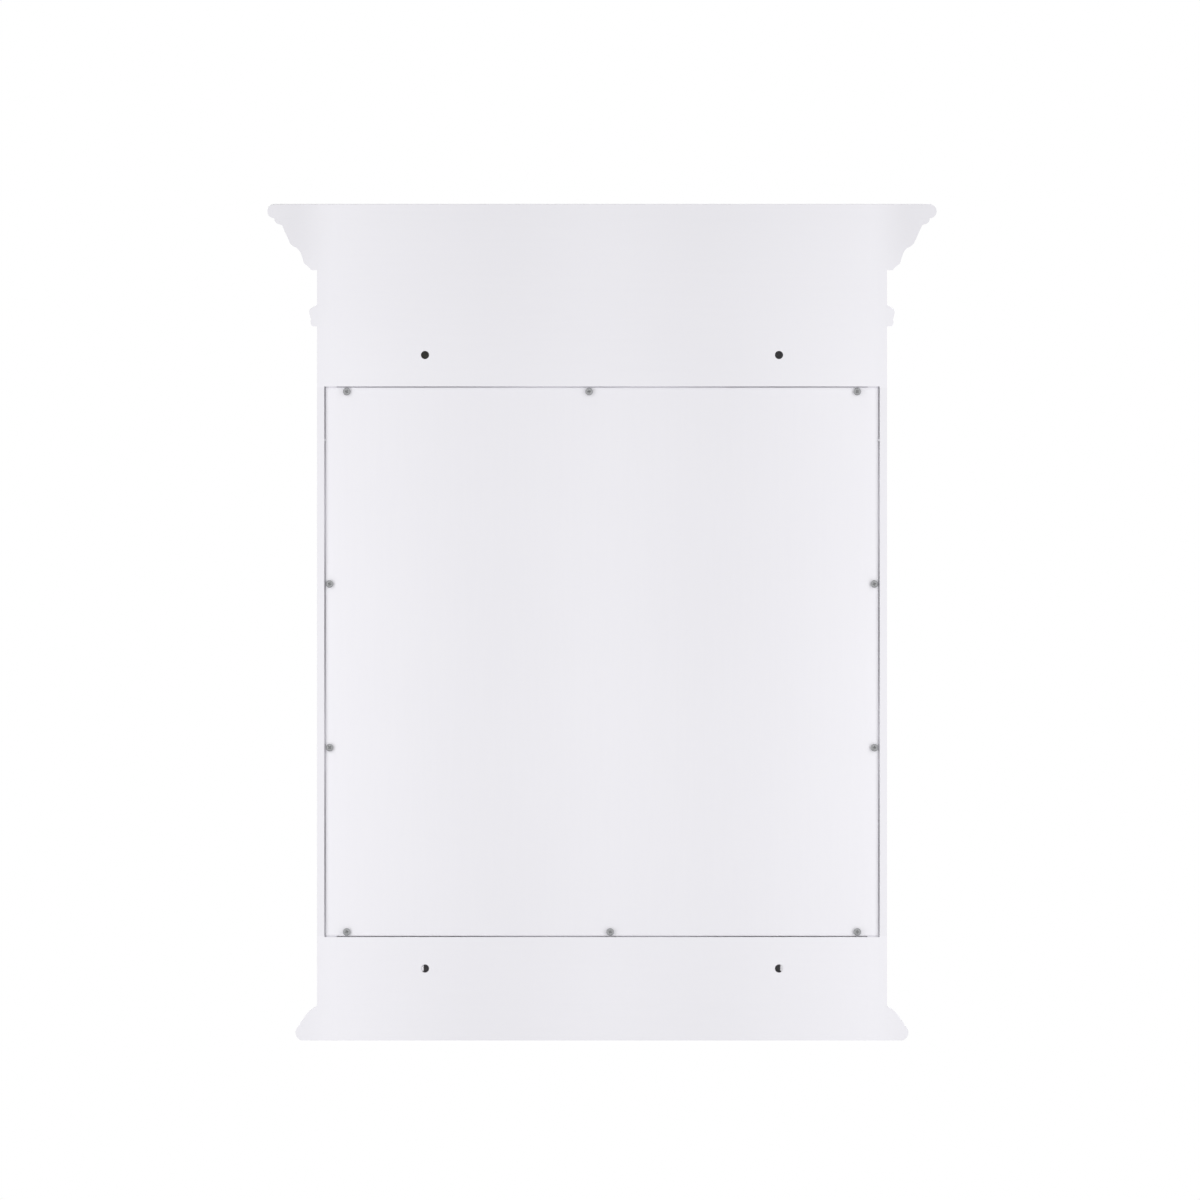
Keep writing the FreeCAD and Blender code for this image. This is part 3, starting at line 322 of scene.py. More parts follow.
floor.data.materials.append(paper.material)

flagged = bpy.data.collections.new("flagged_from_back_lamps")
flagged.objects.link(floor)
flagged.collection_objects[0].light_linking.link_state = "EXCLUDE"
for lamp in back_lamps:
    lamp.light_linking.receiver_collection = flagged
print("floor", FLOOR_DROP, "m below the foot, out of the light of", len(back_lamps), "lamps")

# %% [markdown]
# ## Light in the wall holes
#
# A little light seeps in round the closed door, so the wall holes are a dark grey and not black. A render
# of few samples hardly finds the way through gaps so narrow, and a weak lamp inside the cabinet stands in
# for it. Light linking lets it shine only on what is seen through the holes, the door's rails and the catch,
# so that it adds nothing to the shelves when the door is open.

# %% Lamp inside
SEEP_WATTS = 0.1
SEEP_DEPTH = 40 * MM  # of the lamp from the wall
inside_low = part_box("bottom_board")[1].z
inside_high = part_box("inner_top_board")[0].z
bpy.ops.object.light_add(
    type="AREA", location=(0, -SEEP_DEPTH, (inside_low + inside_high) / 2), rotation=(-math.pi / 2, 0, 0)
)
seep = bpy.context.object
seep.name = "seep_lamp"
seep.data.shape = "RECTANGLE"
seep.data.size = 2 * HOLE_X
seep.data.size_y = inside_high - inside_low
seep.data.energy = SEEP_WATTS
seep.visible_camera = False
seep.visible_glossy = False
behind_holes = bpy.data.collections.new("behind_the_wall_holes")
for name in ("door_rail_top", "door_rail_bottom", "catch_body"):
    behind_holes.objects.link(NODES[name])
seep.light_linking.receiver_collection = behind_holes

# %% [markdown]
# ## A card for the mirror
#
# A mirror in an all-white room is a white rectangle. Photographers hang a grey card in front of it, out of
# the picture, so that its reflection gives the glass a tone. This card hangs across the room, so large that
# the glass shows none of its edges from any usual side, and gets gently darker and lighter along a slant.
# Only reflections see it, so it takes no light from the cabinet.

# %% Reflection card
CARD_DISTANCE = 3.0
CARD_WIDTH = 16.0
CARD_HEIGHT = 8.0
CARD_WAVE = 1.7  # metres from one light band to the next
CARD_SLANT = (0.5, 0.87)  # across and up, the way from band to band
CARD_DARK = (0.52, 0.54, 0.56, 1)
CARD_LIGHT = (0.96, 0.97, 0.98, 1)
bpy.ops.mesh.primitive_plane_add(
    size=1, location=(0, -CARD_DISTANCE, MIDDLE.z), rotation=(math.pi / 2, 0, 0)
)
card = bpy.context.object
card.name = "reflection_card"
card.scale = (CARD_WIDTH, CARD_HEIGHT, 1)
bpy.ops.object.transform_apply(location=True, rotation=True, scale=True)
grey = Finish("grey_card", {"Base Color": (0, 0, 0, 1), "Roughness": 1.0, "Emission Strength": 1.0})
x, y, z = grey.place()[1:]
slant = (x * CARD_SLANT[0] + z * CARD_SLANT[1]) * (2 * math.pi / CARD_WAVE)
band = 0.5 + slant.math("SINE", slant) * 0.5
card.data.materials.append(grey.feed(emission_color=grey.mix(band, CARD_DARK, CARD_LIGHT)))
for ray in ("camera", "diffuse", "transmission", "volume_scatter", "shadow"):
    setattr(card, "visible_" + ray, False)
print("card", CARD_WIDTH, "x", CARD_HEIGHT, "m")

# %% [markdown]
# ## White paint on wood
#
# Boards and mouldings have a satin white paint with a trace of lavender in it. Sprayed and brushed paint is
# never one colour: strokes follow the length of each board, the film has a fine peel, and broad clouds of
# gloss come from how the wood took it. Three noises do that, and the stroke noise is stretched along the
# board. No paint reaches far into the wall holes, where bare wood shows, darkened with painted shade. On
# the back a painted shade makes the paint a trace greyer towards the cut ends of the mouldings, most on
# the crown, and on the narrow edges of the sides. Masks from the object's own coordinates change the colour
# there. Edges are a little rounded, less so on the back, where boards lie flush and their joints are filled.

# %% Paint
PAINT_LIGHT = (0.850, 0.842, 0.878, 1)
PAINT_DARK = (0.806, 0.797, 0.836, 1)
# painted shade: the greyer colour on the back's side edges and towards the ends of mouldings
PAINT_SHADED = (0.744, 0.736, 0.770, 1)
# bare wood, painted darker as the shade deep in the wall holes
BARE_WOOD_SHADED = (0.12, 0.095, 0.08, 1)
PAINT_DEPTH = 0.7 * MM  # how far the paint goes round the edge of a hole
HOLE_SLACK = 0.05 * MM  # lets the mask of a hole take in the hole's wall
BACK_DEPTH = 1.0 * MM  # what lies this close to the wall counts as the back
# how much painted shade the narrow edges of the sides get
SHADE_ON_EDGES = 0.45
SHADE_AT_BASE = 0.6  # on the ends of the base moulding, and 1 on the crown
SHADE_FROM = BODY_HALF - 20 * MM  # the painted shade deepens between these two distances from the middle
SHADE_TO = BODY_HALF + 27 * MM
CROWN_FROM = CROWN_FOOT - 15 * MM  # and the crown's share takes over between these two heights
CROWN_TO = CROWN_FOOT + 30 * MM
EDGE_ROUNDING = 0.5 * MM
FLUSH_ROUNDING = 0.1 * MM  # on the back
STROKE_WAVES = 260  # to a metre across the strokes
CLOUD_WAVES = 4.5
PEEL_WAVES = 900


def in_hole(x, y, z):
    """1 on the walls of the four wall holes."""
    from_axis = ((abs(x) - HOLE_X) ** 2 + (abs(z) - HOLE_Z) ** 2) ** 0.5
    deep = (y < -PAINT_DEPTH) * (y > RAIL_INSIDE - 2 * HOLE_SLACK)
    return (from_axis < HOLE_RADIUS + HOLE_SLACK) * deep


def painted_shade_on_back(finish, x, y, z):
    """Painted shade on the back: on the edges of the sides, and towards the ends of mouldings."""
    on_edge = (abs(x) > PANEL_HIGH.x + PANEL_GAP) * (z > PANEL_LOW.z) * (z < PANEL_HIGH.z) * SHADE_ON_EDGES
    on_crown = finish.smooth(z, CROWN_FROM, CROWN_TO)
    on_end = finish.smooth(abs(x), SHADE_FROM, SHADE_TO) * (SHADE_AT_BASE + on_crown * (1 - SHADE_AT_BASE))
    return on_edge.most(on_end) * (y > -BACK_DEPTH)


def paint(name, stretch, bare_shaded_holes):
    """White paint with strokes; where it was sprayed on drilled boards, the wall holes stay bare wood,
    painted dark as shade.
    """
    finish = Finish(name, {"Specular IOR Level": 0.45})
    whole, x, y, z = finish.place()
    strokes = finish.noise(whole, STROKE_WAVES, 3, stretch)
    clouds = finish.noise(whole, CLOUD_WAVES, 2)
    peel = finish.noise(whole, PEEL_WAVES, 1)
    colour = finish.mix(clouds * 0.7 + strokes * 0.3, PAINT_DARK, PAINT_LIGHT)
    # painted shade: a greyer colour on the back's side edges and towards the moulding ends
    colour = finish.mix(painted_shade_on_back(finish, x, y, z), colour, PAINT_SHADED)
    if bare_shaded_holes:
        # the hole walls: bare wood, darkened with painted shade
        colour = finish.mix(in_hole(x, y, z), colour, BARE_WOOD_SHADED)
    roughness = 0.36 + clouds * 0.14 + strokes * 0.08
    edge = FLUSH_ROUNDING + (y < -BACK_DEPTH) * (EDGE_ROUNDING - FLUSH_ROUNDING)
    normal = finish.bump(strokes * 0.7 + peel * 0.3, 0.22, 0.12 * MM, edge)
    return finish.feed(base_color=colour, roughness=roughness, normal=normal)


STROKE_LENGTH = 0.045  # waves along a board for each wave across it
PAINTS = {}
for index, axis in enumerate("xyz"):
    stretch = [1.0, 1.0, 1.0]
    stretch[index] = STROKE_LENGTH
    PAINTS[axis] = paint("white_paint_along_" + axis, stretch, True)
PANEL_PAINT = paint("white_paint_on_panel", (1.0, 1.0, STROKE_LENGTH), False)
print("paints:", [material.name for material in PAINTS.values()], PANEL_PAINT.name)

# %% [markdown]
# ## Mirror
#
# The door's mirror is silvered plate glass with a wide polished bevel. A full glass body in front of silver
# would render slowly and look the same from a step away, so the plate is one mirror surface: metal, nearly
# smooth, with the faint green that glass gives. The bevel is painted brighter and greener, a painted
# reflection of its slanted face, and a painted dark line stands for the shade where the bevel begins. The
# smears that every mirror has only change its roughness.

# %% Silvered glass
MIRROR_LOW, MIRROR_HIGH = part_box("mirror_glass")
BEVEL_WIDTH = 20.0 * MM
BEVEL_SOFT = 0.2 * MM  # half the width of the step from plate to bevel
LINE_CORE = 0.2 * MM  # to each side of the painted shade line, which fades out from here
LINE_END = 0.7 * MM
SILVER = (0.74, 0.765, 0.762, 1)
# painted reflection of the bevel's slant, and painted shade along the bevel's edge
SILVER_BEVEL_REFLECTION = (0.80, 0.835, 0.825, 1)
SILVER_LINE_SHADE = (0.50, 0.55, 0.54, 1)

silver = Finish("silvered_glass", {"Metallic": 1.0, "Specular IOR Level": 0.5})
whole, x, y, z = silver.place()
mirror_middle = (MIRROR_LOW + MIRROR_HIGH) / 2
mirror_half = (MIRROR_HIGH - MIRROR_LOW) / 2
to_side = mirror_half.x - abs(x - mirror_middle.x)
to_end = mirror_half.z - abs(z - mirror_middle.z)
to_edge = to_side.least(to_end)
on_bevel = 1 - silver.smooth(to_edge, BEVEL_WIDTH - BEVEL_SOFT, BEVEL_WIDTH + BEVEL_SOFT)
on_line = 1 - silver.smooth(abs(to_edge - BEVEL_WIDTH), LINE_CORE, LINE_END)
# the bevel gets a painted reflection and its edge a painted shade line
colour = silver.mix(on_line * 0.6, silver.mix(on_bevel, SILVER, SILVER_BEVEL_REFLECTION), SILVER_LINE_SHADE)
smears = silver.smooth(silver.noise(whole, 11, 4, (1, 1, 0.4)), 0.5, 0.75)
SILVERED_GLASS = silver.feed(base_color=colour, roughness=0.012 + smears * 0.035)
print("mirror", [round(side / MM, 1) for side in MIRROR_HIGH - MIRROR_LOW], "mm")

# %% [markdown]
# ## Pressed board and dowel wood
#
# Behind the mirror lies a thin pressed board, brown and speckled with short fibres. The dowels are plain
# beech, and show only where a joint is open. Both are a mix of two browns: fine speckle for the board, and
# long streaks for the dowels.

# %% Brown boards and dowels
pressed = Finish("pressed_board", {"Specular IOR Level": 0.3})
whole = pressed.place()[0]
fibres = pressed.noise(whole, 700, 5)
patches = pressed.noise(whole, 14, 2)
colour = pressed.mix(fibres * 0.7 + patches * 0.3, (0.17, 0.095, 0.045, 1), (0.40, 0.26, 0.14, 1))
PRESSED_BOARD = pressed.feed(
    base_color=colour, roughness=0.62 + fibres * 0.25, normal=pressed.bump(fibres, 0.3, 0.15 * MM)
)

beech = Finish("beech_dowel", {"Specular IOR Level": 0.35})
whole = beech.place()[0]
streaks = beech.noise(whole, 900, 4, (0.06, 1, 1))
colour = beech.mix(streaks, (0.47, 0.30, 0.16, 1), (0.72, 0.52, 0.32, 1))
BEECH = beech.feed(
    base_color=colour, roughness=0.55 + streaks * 0.2, normal=beech.bump(streaks, 0.25, 0.1 * MM)
)
print("browns:", PRESSED_BOARD.name, BEECH.name)

# %% [markdown]
# ## Metals
#
# Four metals: zinc on the screws, grey and mottled; satin nickel on hinges, drawn along their length; satin
# nickel on the knob, turned, so that its marks run in rings; and bright plate on shelf pins, strike and
# pole plates. All are the same recipe, a metal whose colour and roughness follow a pattern, and only the
# pattern and the tones change.

# %% Metals
METAL_ROUNDING = 0.15 * MM


def metal(name, pattern, dark, light, roughness, spread, depth):
    """A metal whose pattern is a function of the finish and its object coordinates."""
    finish = Finish(name, {"Metallic": 1.0})
    marks = pattern(finish, *finish.place())
    colour = finish.mix(marks, dark, light)
    normal = finish.bump(marks, 0.2, depth, METAL_ROUNDING)
    return finish.feed(base_color=colour, roughness=roughness + marks * spread, normal=normal)


KNOB_LOW, KNOB_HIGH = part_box("knob")
KNOB_MIDDLE = (KNOB_LOW + KNOB_HIGH) / 2


def mottle(finish, whole, x, y, z):
    return finish.noise(whole, 1500, 3)


def drawn(finish, whole, x, y, z):
    return finish.noise(whole, 2600, 2, (1, 1, 0.02))


def turned_rings(finish, whole, x, y, z):
    from_axis = ((x - KNOB_MIDDLE.x) ** 2 + (z - KNOB_MIDDLE.z) ** 2) ** 0.5
    rings = finish.node("ShaderNodeCombineXYZ", {}, {0: from_axis, 1: y * 0.3})
    return finish.noise(rings, 3200, 2)


ZINC = metal("zinc_plate", mottle, (0.16, 0.165, 0.17, 1), (0.60, 0.605, 0.615, 1), 0.30, 0.22, 0.05 * MM)
HINGE_NICKEL = metal(
    "drawn_nickel", drawn, (0.50, 0.48, 0.445, 1), (0.68, 0.655, 0.615, 1), 0.24, 0.16, 0.03 * MM
)
KNOB_NICKEL = metal(
    "turned_nickel", turned_rings, (0.53, 0.51, 0.475, 1), (0.70, 0.675, 0.635, 1), 0.28, 0.14, 0.02 * MM
)
BRIGHT_PLATE = metal(
    "bright_plate", mottle, (0.50, 0.50, 0.51, 1), (0.66, 0.66, 0.67, 1), 0.20, 0.15, 0.02 * MM
)
print("metals:", ZINC.name, HINGE_NICKEL.name, KNOB_NICKEL.name, BRIGHT_PLATE.name)

# %% [markdown]
# ## Catch
#
# The catch under the ceiling is a moulded housing, a little creamy beside the paint and finely textured,
# with a dark sintered magnet in it. A fine noise gives the grain of the moulding and of the sintered powder.

# %% Moulding and magnet
moulded = Finish("moulded_cream", {"Specular IOR Level": 0.4})
whole = moulded.place()[0]
grain = moulded.noise(whole, 1800, 2)
colour = moulded.mix(grain, (0.70, 0.675, 0.62, 1), (0.78, 0.76, 0.70, 1))
MOULDED = moulded.feed(
    base_color=colour,
    roughness=0.45 + grain * 0.2,
    normal=moulded.bump(grain, 0.25, 0.05 * MM, 0.3 * MM),
)

sintered = Finish("sintered_magnet", {"Specular IOR Level": 0.4})
whole = sintered.place()[0]
powder = sintered.noise(whole, 2400, 4)
colour = sintered.mix(powder, (0.035, 0.035, 0.04, 1), (0.11, 0.11, 0.115, 1))
SINTERED = sintered.feed(
    base_color=colour,
    roughness=0.55 + powder * 0.25,
    normal=sintered.bump(powder, 0.3, 0.05 * MM, 0.2 * MM),
)
print("catch finishes:", MOULDED.name, SINTERED.name)

# %% [markdown]
# ## Finishes on the CAD nodes
#
# Each node names a material slot in the record, so most finishes are handed out by slot. Painted boards
# also need the paint whose strokes run their way, which is along the longest side of the board's box.

# %% Hand out the finishes
SLOT_FINISH = {
    "panel_paint": PANEL_PAINT,
    "mirror": SILVERED_GLASS,
    "backing_board": PRESSED_BOARD,
    "dowel_wood": BEECH,
    "zinc_screw": ZINC,
    "hinge_nickel": HINGE_NICKEL,
    "knob_nickel": KNOB_NICKEL,
    "plated_steel": BRIGHT_PLATE,
    "catch_plastic": MOULDED,
    "magnet": SINTERED,
}


def longest_axis(name):
    low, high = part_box(name)
    return max("xyz", key=lambda axis: getattr(high, axis) - getattr(low, axis))


for subpart in frame["record"]["subparts"]:
    name, slot = subpart["node"], subpart["material_slot"]
    finish = PAINTS[longest_axis(name)] if slot == "white_paint" else SLOT_FINISH[slot]
    NODES[name].data.materials.clear()
    NODES[name].data.materials.append(finish)

# %% [markdown]
# ## Tools for modelling by hand
#
# New pieces start as a primitive and are shaped in edit mode. Operators act on what is selected, so two
# helpers select: one makes a piece the only selected object, and one picks faces by their middle and normal.
# Three more apply a modifier, hand a finished piece to its body, and find where a CAD node's solids lie.

# %% Modelling helpers
MERGE_DISTANCE = 0.001 * MM


def only(piece):
    """Makes a piece the one selected and active object."""
    bpy.ops.object.select_all(action="DESELECT")
    piece.select_set(True)
    bpy.context.view_layer.objects.active = piece


def pick_faces(piece, wanted):
    """In edit mode, selects the faces whose middle and normal pass a test."""
    bpy.ops.mesh.select_mode(type="FACE")
    bpy.ops.mesh.select_all(action="DESELECT")
    mesh = bmesh.from_edit_mesh(piece.data)
    for face in mesh.faces:
        face.select_set(wanted(face.calc_center_median(), face.normal))
    bmesh.update_edit_mesh(piece.data)


def apply_modifier(piece, kind, **settings):
    """Adds a modifier to a piece and applies it."""
    only(piece)
    modifier = piece.modifiers.new(kind.lower(), kind)
    for setting, value in settings.items():
        setattr(modifier, setting, value)
    bpy.ops.object.modifier_apply(modifier=modifier.name)


def finish_piece(piece, name, material, body):
    """Names a piece, puts its place into its mesh, gives it its finish and lets it ride on a body."""
    only(piece)
    bpy.ops.object.transform_apply(location=True, rotation=True, scale=True)
    piece.name = name
    piece.data.name = name
    piece.data.materials.clear()
    piece.data.materials.append(material)
    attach(piece, body)
    return piece


def loose_boxes(name):
    """The boxes of the separate solids in a node, lowest first, read from a merged copy of it."""
    only(NODES[name])
    bpy.ops.object.duplicate(linked=False)
    bpy.ops.object.mode_set(mode="EDIT")
    bpy.ops.mesh.select_all(action="SELECT")
    bpy.ops.mesh.remove_doubles(threshold=MERGE_DISTANCE)
    bpy.ops.mesh.separate(type="LOOSE")
    bpy.ops.object.mode_set(mode="OBJECT")
    boxes = []
    for part in list(bpy.context.selected_objects):
        corners = [vertex.co for vertex in part.data.vertices]
        low = Vector([min(corner[i] for corner in corners) for i in range(3)])
        high = Vector([max(corner[i] for corner in corners) for i in range(3)])
        boxes.append((low, high))
    bpy.ops.object.delete()
    return sorted(boxes, key=lambda box: tuple(round(box[0][axis] / MM) for axis in (2, 0, 1)))


print("panel screws:", len(loose_boxes("back_panel_screws")))

# %% [markdown]
# ## Screws
#
# Ten zinc pan heads with a cross recess hold the back panel, and three more the knob and the catch; the
# hinges and the strike have countersunk heads. A head could be a revolved profile, but it is quicker to take
# a cylinder, bevel its top edge into a dome and cut the cross with two tapered bars. For each CAD node one
# screw is modelled at the origin and then copied to the places of the node's solids, each copy turned a
# little further, as screws driven by hand are.

# %% Tools for the screws
HEAD_SIDES = 40
DOME = 0.62  # share of a pan head's height that is rounded
PAN_CROSS = (1.15, 0.3, 0.75)  # the cross: length and width by the head's radius, depth by its height
FLAT_CROSS = (0.95, 0.24, 0.7)
BAR_FOOT = (0.45, 0.6, 1)  # size of a bar's foot by the size of its top
SHANK_TIP = 0.15  # share of the shank that tapers to the tip
PAN_TIP = 0.35  # radius of the tip by the shank's
FLAT_TIP = 0.5
FACING = 0.9  # a face looks up or down if its normal, of length 1, rises or falls by more than this
SMOOTH_ANGLE = math.radians(35)  # softer edges than this are shaded smooth


def looks_up(middle, normal):
    return normal.z > FACING


def looks_down(middle, normal):
    return normal.z < -FACING


def head_blank(radius, height, middle):
    """A cylinder on the Z axis, as a new object in edit mode."""
    bpy.ops.mesh.primitive_cylinder_add(
        vertices=HEAD_SIDES, radius=radius, depth=height, location=(0, 0, middle)
    )
    blank = bpy.context.object
    bpy.ops.object.transform_apply(location=True)
    bpy.ops.object.mode_set(mode="EDIT")
    return blank


def cut_cross(screw, top, radius, height, cross):
    """Cuts a cross recess into a screw whose head ends at the height `top`."""
    length, width, depth = cross[0] * radius, cross[1] * radius, cross[2] * height
    for turn in (0, math.pi / 2):
        bpy.ops.mesh.primitive_cube_add(size=1, location=(0, 0, top), rotation=(0, 0, turn))
        bar = bpy.context.object
        bar.scale = (length, width, 2 * depth)
        bpy.ops.object.mode_set(mode="EDIT")
        pick_faces(bar, looks_down)
        bpy.ops.transform.resize(value=BAR_FOOT)
        bpy.ops.object.mode_set(mode="OBJECT")
        only(bar)
        bpy.ops.object.transform_apply(location=True, rotation=True, scale=True)
        apply_modifier(screw, "BOOLEAN", operation="DIFFERENCE", object=bar, solver="EXACT")
        only(bar)
        bpy.ops.object.delete()


def shank_below(screw, head_radius, shank_radius, length):
    """Draws the shank out of the face under a screw's head, to a blunt tip."""
    pick_faces(screw, looks_down)
    bpy.ops.mesh.inset(thickness=head_radius - shank_radius)
    for share in (1 - SHANK_TIP, SHANK_TIP):
        bpy.ops.mesh.extrude_region_move(TRANSFORM_OT_translate={"value": (0, 0, -share * length)})
    bpy.ops.transform.resize(value=(PAN_TIP, PAN_TIP, 1))


def pan_screw(radius, height, shank_radius, length):
    """A pan head screw that stands with its seat on the origin and its head up."""
    screw = head_blank(radius, height, height / 2)
    pick_faces(screw, looks_up)
    bpy.ops.mesh.bevel(offset=DOME * height, segments=6, profile=0.6, affect="EDGES")
    shank_below(screw, radius, shank_radius, length)
    bpy.ops.object.mode_set(mode="OBJECT")
    cut_cross(screw, height, radius, height, PAN_CROSS)
    only(screw)
    bpy.ops.object.shade_smooth_by_angle(angle=SMOOTH_ANGLE)
    return screw


def flat_screw(radius, height, shank_radius, length):
    """A countersunk screw with the top of its head at the origin."""
    screw = head_blank(radius, height, -height / 2)
    pick_faces(screw, looks_down)
    share = shank_radius / radius
    bpy.ops.transform.resize(value=(share, share, 1))
    bpy.ops.mesh.extrude_region_move(TRANSFORM_OT_translate={"value": (0, 0, height - length)})
    bpy.ops.transform.resize(value=(FLAT_TIP, FLAT_TIP, 1))
    bpy.ops.object.mode_set(mode="OBJECT")
    cut_cross(screw, 0, radius, height, FLAT_CROSS)
    only(screw)
    bpy.ops.object.shade_smooth_by_angle(angle=SMOOTH_ANGLE)
    return screw


print("screw tools ready")

# %% Copy the screws to their places
SCREW_TURN = math.radians(57)  # each screw stops this much further round than the last
SCREWS = {
    # node: (maker, direction of the head, head height, body)
    "back_panel_screws": (pan_screw, Vector((0, 1, 0)), 2.6 * MM, "carcass"),
    "knob_screw": (pan_screw, Vector((0, 1, 0)), 2.4 * MM, "door"),
    "catch_screws": (pan_screw, Vector((0, 0, -1)), 2.0 * MM, "carcass"),
    "strike_screw": (flat_screw, Vector((0, 1, 0)), 1.4 * MM, "door"),
    "frame_hinge_screws": (flat_screw, Vector((1, 0, 0)), 1.4 * MM, "carcass"),
    "door_hinge_screws": (flat_screw, Vector((-1, 0, 0)), 1.4 * MM, "door"),
}
SHANK_SHARE = 0.5  # shank radius as a share of the head's


def place_screws(node, maker, out, height, body):
    """Models one screw for a node and copies it to each of the node's solids."""
    boxes = loose_boxes(node)
    size = boxes[0][1] - boxes[0][0]
    length = abs(size.dot(out))
    radius = max(size[axis] for axis in range(3) if not out[axis]) / 2
    raised = height if maker is pan_screw else 0
    model = maker(radius, height, SHANK_SHARE * radius, length - raised)
    upright = Vector((0, 0, 1)).rotation_difference(out)
    for index, (low, high) in enumerate(boxes):
        only(model)
        bpy.ops.object.duplicate(linked=False)
        screw = bpy.context.object
        screw.location = (low + high) / 2 + out * (length / 2 - raised)
        screw.rotation_euler = (upright @ Quaternion((0, 0, 1), index * SCREW_TURN)).to_euler()
        finish_piece(screw, f"{node}_{index + 1:02d}", ZINC, body)
        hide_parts(node)
    only(model)
    bpy.ops.object.delete()
    print(node, len(boxes), "screws, head", round(2 * radius / MM, 2), "mm")


for node, values in SCREWS.items():
    place_screws(node, *values)

# %% [markdown]
# ## Paint in the gaps
#
# Spraying has half filled the gap round the back panel, more in some places than in others, so the gap is a
# darker and a paler line by turns. A colour could fake that, but depth does it better: each fill is a long
# box, cut into columns, and each column of its face is sunk by a cosine of its place along the gap.

# %% Paint along the gaps
FILL_COLUMNS = 60
ON_FACE = 0.01 * MM  # a point this close to a face lies on it


def box_blank(low, high):
    """A box between two corners, as a new object in edit mode."""
    bpy.ops.mesh.primitive_cube_add(size=1, location=(low + high) / 2)
    blank = bpy.context.object
    blank.scale = high - low
    bpy.ops.object.transform_apply(location=True, rotation=True, scale=True)
    bpy.ops.object.mode_set(mode="EDIT")
    return blank


def pick_edges(piece, wanted):
    """In edit mode, selects the edges whose two ends pass a test."""
    bpy.ops.mesh.select_mode(type="EDGE")
    bpy.ops.mesh.select_all(action="DESELECT")
    mesh = bmesh.from_edit_mesh(piece.data)
    for edge in mesh.edges:
        edge.select_set(wanted(edge.verts[0].co, edge.verts[1].co))
    bmesh.update_edit_mesh(piece.data)


def paint_fill(name, low, high, along, sag, share):
    """Paint that fills a box, with its face sunk by `sag` times the share at each place along an axis."""
    fill = box_blank(low, high)
    column = (high - low)[along] / FILL_COLUMNS
    pick_edges(fill, lambda start, end: abs(start[along] - end[along]) > column)
    bpy.ops.mesh.subdivide(number_cuts=FILL_COLUMNS - 1)

    def between_columns(point, place):
        return abs(point[along] - place) < column / 4 and abs(point.y - high.y) < ON_FACE

    for index in range(FILL_COLUMNS + 1):
        place = low[along] + index * column
        pick_edges(fill, lambda start, end: between_columns(start, place) and between_columns(end, place))
        bpy.ops.transform.translate(value=(0, -sag * share(place), 0))
    bpy.ops.object.mode_set(mode="OBJECT")
    bpy.ops.object.shade_smooth_by_angle(angle=SMOOTH_ANGLE)
    return finish_piece(fill, name, PANEL_PAINT, "carcass")


def wave(place, deepest, length):
    """From 1 at the deepest place to 0 half a wave further on, and back."""
    return 0.5 + 0.5 * math.cos(2 * math.pi * (place - deepest) / length)


def photo_height(row):
    """The height at which a row of the photograph's pixels lies."""
    return FOOT + (PHOTO_FOOT[1] - row) * PHOTO_PIXEL


DEEPEST_ROW = 396  # pixel row of the darkest place in the upright gaps
UPRIGHT_DEEPEST = photo_height(DEEPEST_ROW)
UPRIGHT_WAVE = 228 * PHOTO_PIXEL
LEVEL_WAVE = 260 * PHOTO_PIXEL
LEVEL_DEEPEST = 180 * PHOTO_PIXEL  # to both sides of the middle
UPRIGHT_FILL = (0.6 * MM, 3.0 * MM)  # depth of the face below the panel where it is shallow, and its sag
LEVEL_FILLS = {"top": (1.2 * MM, 2.6 * MM), "bottom": (2.8 * MM, 3.1 * MM)}
DAB_LENGTH = 11.5 * MM
FILL_LAP = 1.0 * MM  # how far a level fill runs into the dabs at its ends

for word, near in (("left", PANEL_LOW.x - PANEL_GAP), ("right", PANEL_HIGH.x)):
    depth, sag = UPRIGHT_FILL
    paint_fill(
        "gap_fill_" + word, Vector((near, PANEL_LOW.y, PANEL_LOW.z - PANEL_GAP)),
        Vector((near + PANEL_GAP, PANEL_HIGH.y - depth, PANEL_HIGH.z + PANEL_GAP)), 2, sag,
        lambda z: wave(z, UPRIGHT_DEEPEST, UPRIGHT_WAVE),
    )
for word, near in (("top", PANEL_HIGH.z), ("bottom", PANEL_LOW.z - PANEL_GAP)):
    depth, sag = LEVEL_FILLS[word]
    reach = PANEL_HIGH.x - DAB_LENGTH + FILL_LAP
    paint_fill(
        "gap_fill_" + word, Vector((-reach, PANEL_LOW.y, near)),
        Vector((reach, PANEL_HIGH.y - depth, near + PANEL_GAP)), 0, sag,
        lambda x: wave(abs(x), LEVEL_DEEPEST, LEVEL_WAVE),
    )
print("paint along four gaps,", FILL_COLUMNS, "columns each")

# %% [markdown]
# ## Dabs of paint
#
# In a few places the gap is closed: over the last centimetre of the top and bottom gap at each corner, and
# in one small bridge on each side, which laps over both sides of the gap and climbs the wall of the rebate.
# A dab of paint could be sculpted; a subdivided box whose points are shaken a little and then smoothed comes
# out the same. The shaking has a fixed seed, so that each run gives the same dab.

# %% Dabs of paint
DAB_SHAKE = 0.06 * MM


def paint_dab(name, low, high, seed):
    """A dab of paint that fills a box, with soft edges and an uneven face."""
    dab = box_blank(low, high)
    bpy.ops.mesh.select_all(action="SELECT")
    bpy.ops.mesh.subdivide(number_cuts=3)
    bpy.ops.transform.vertex_random(offset=DAB_SHAKE, seed=seed)
    bpy.ops.object.mode_set(mode="OBJECT")
    apply_modifier(dab, "SUBSURF", levels=2)
    bpy.ops.object.shade_smooth()
    return finish_piece(dab, name, PANEL_PAINT, "carcass")


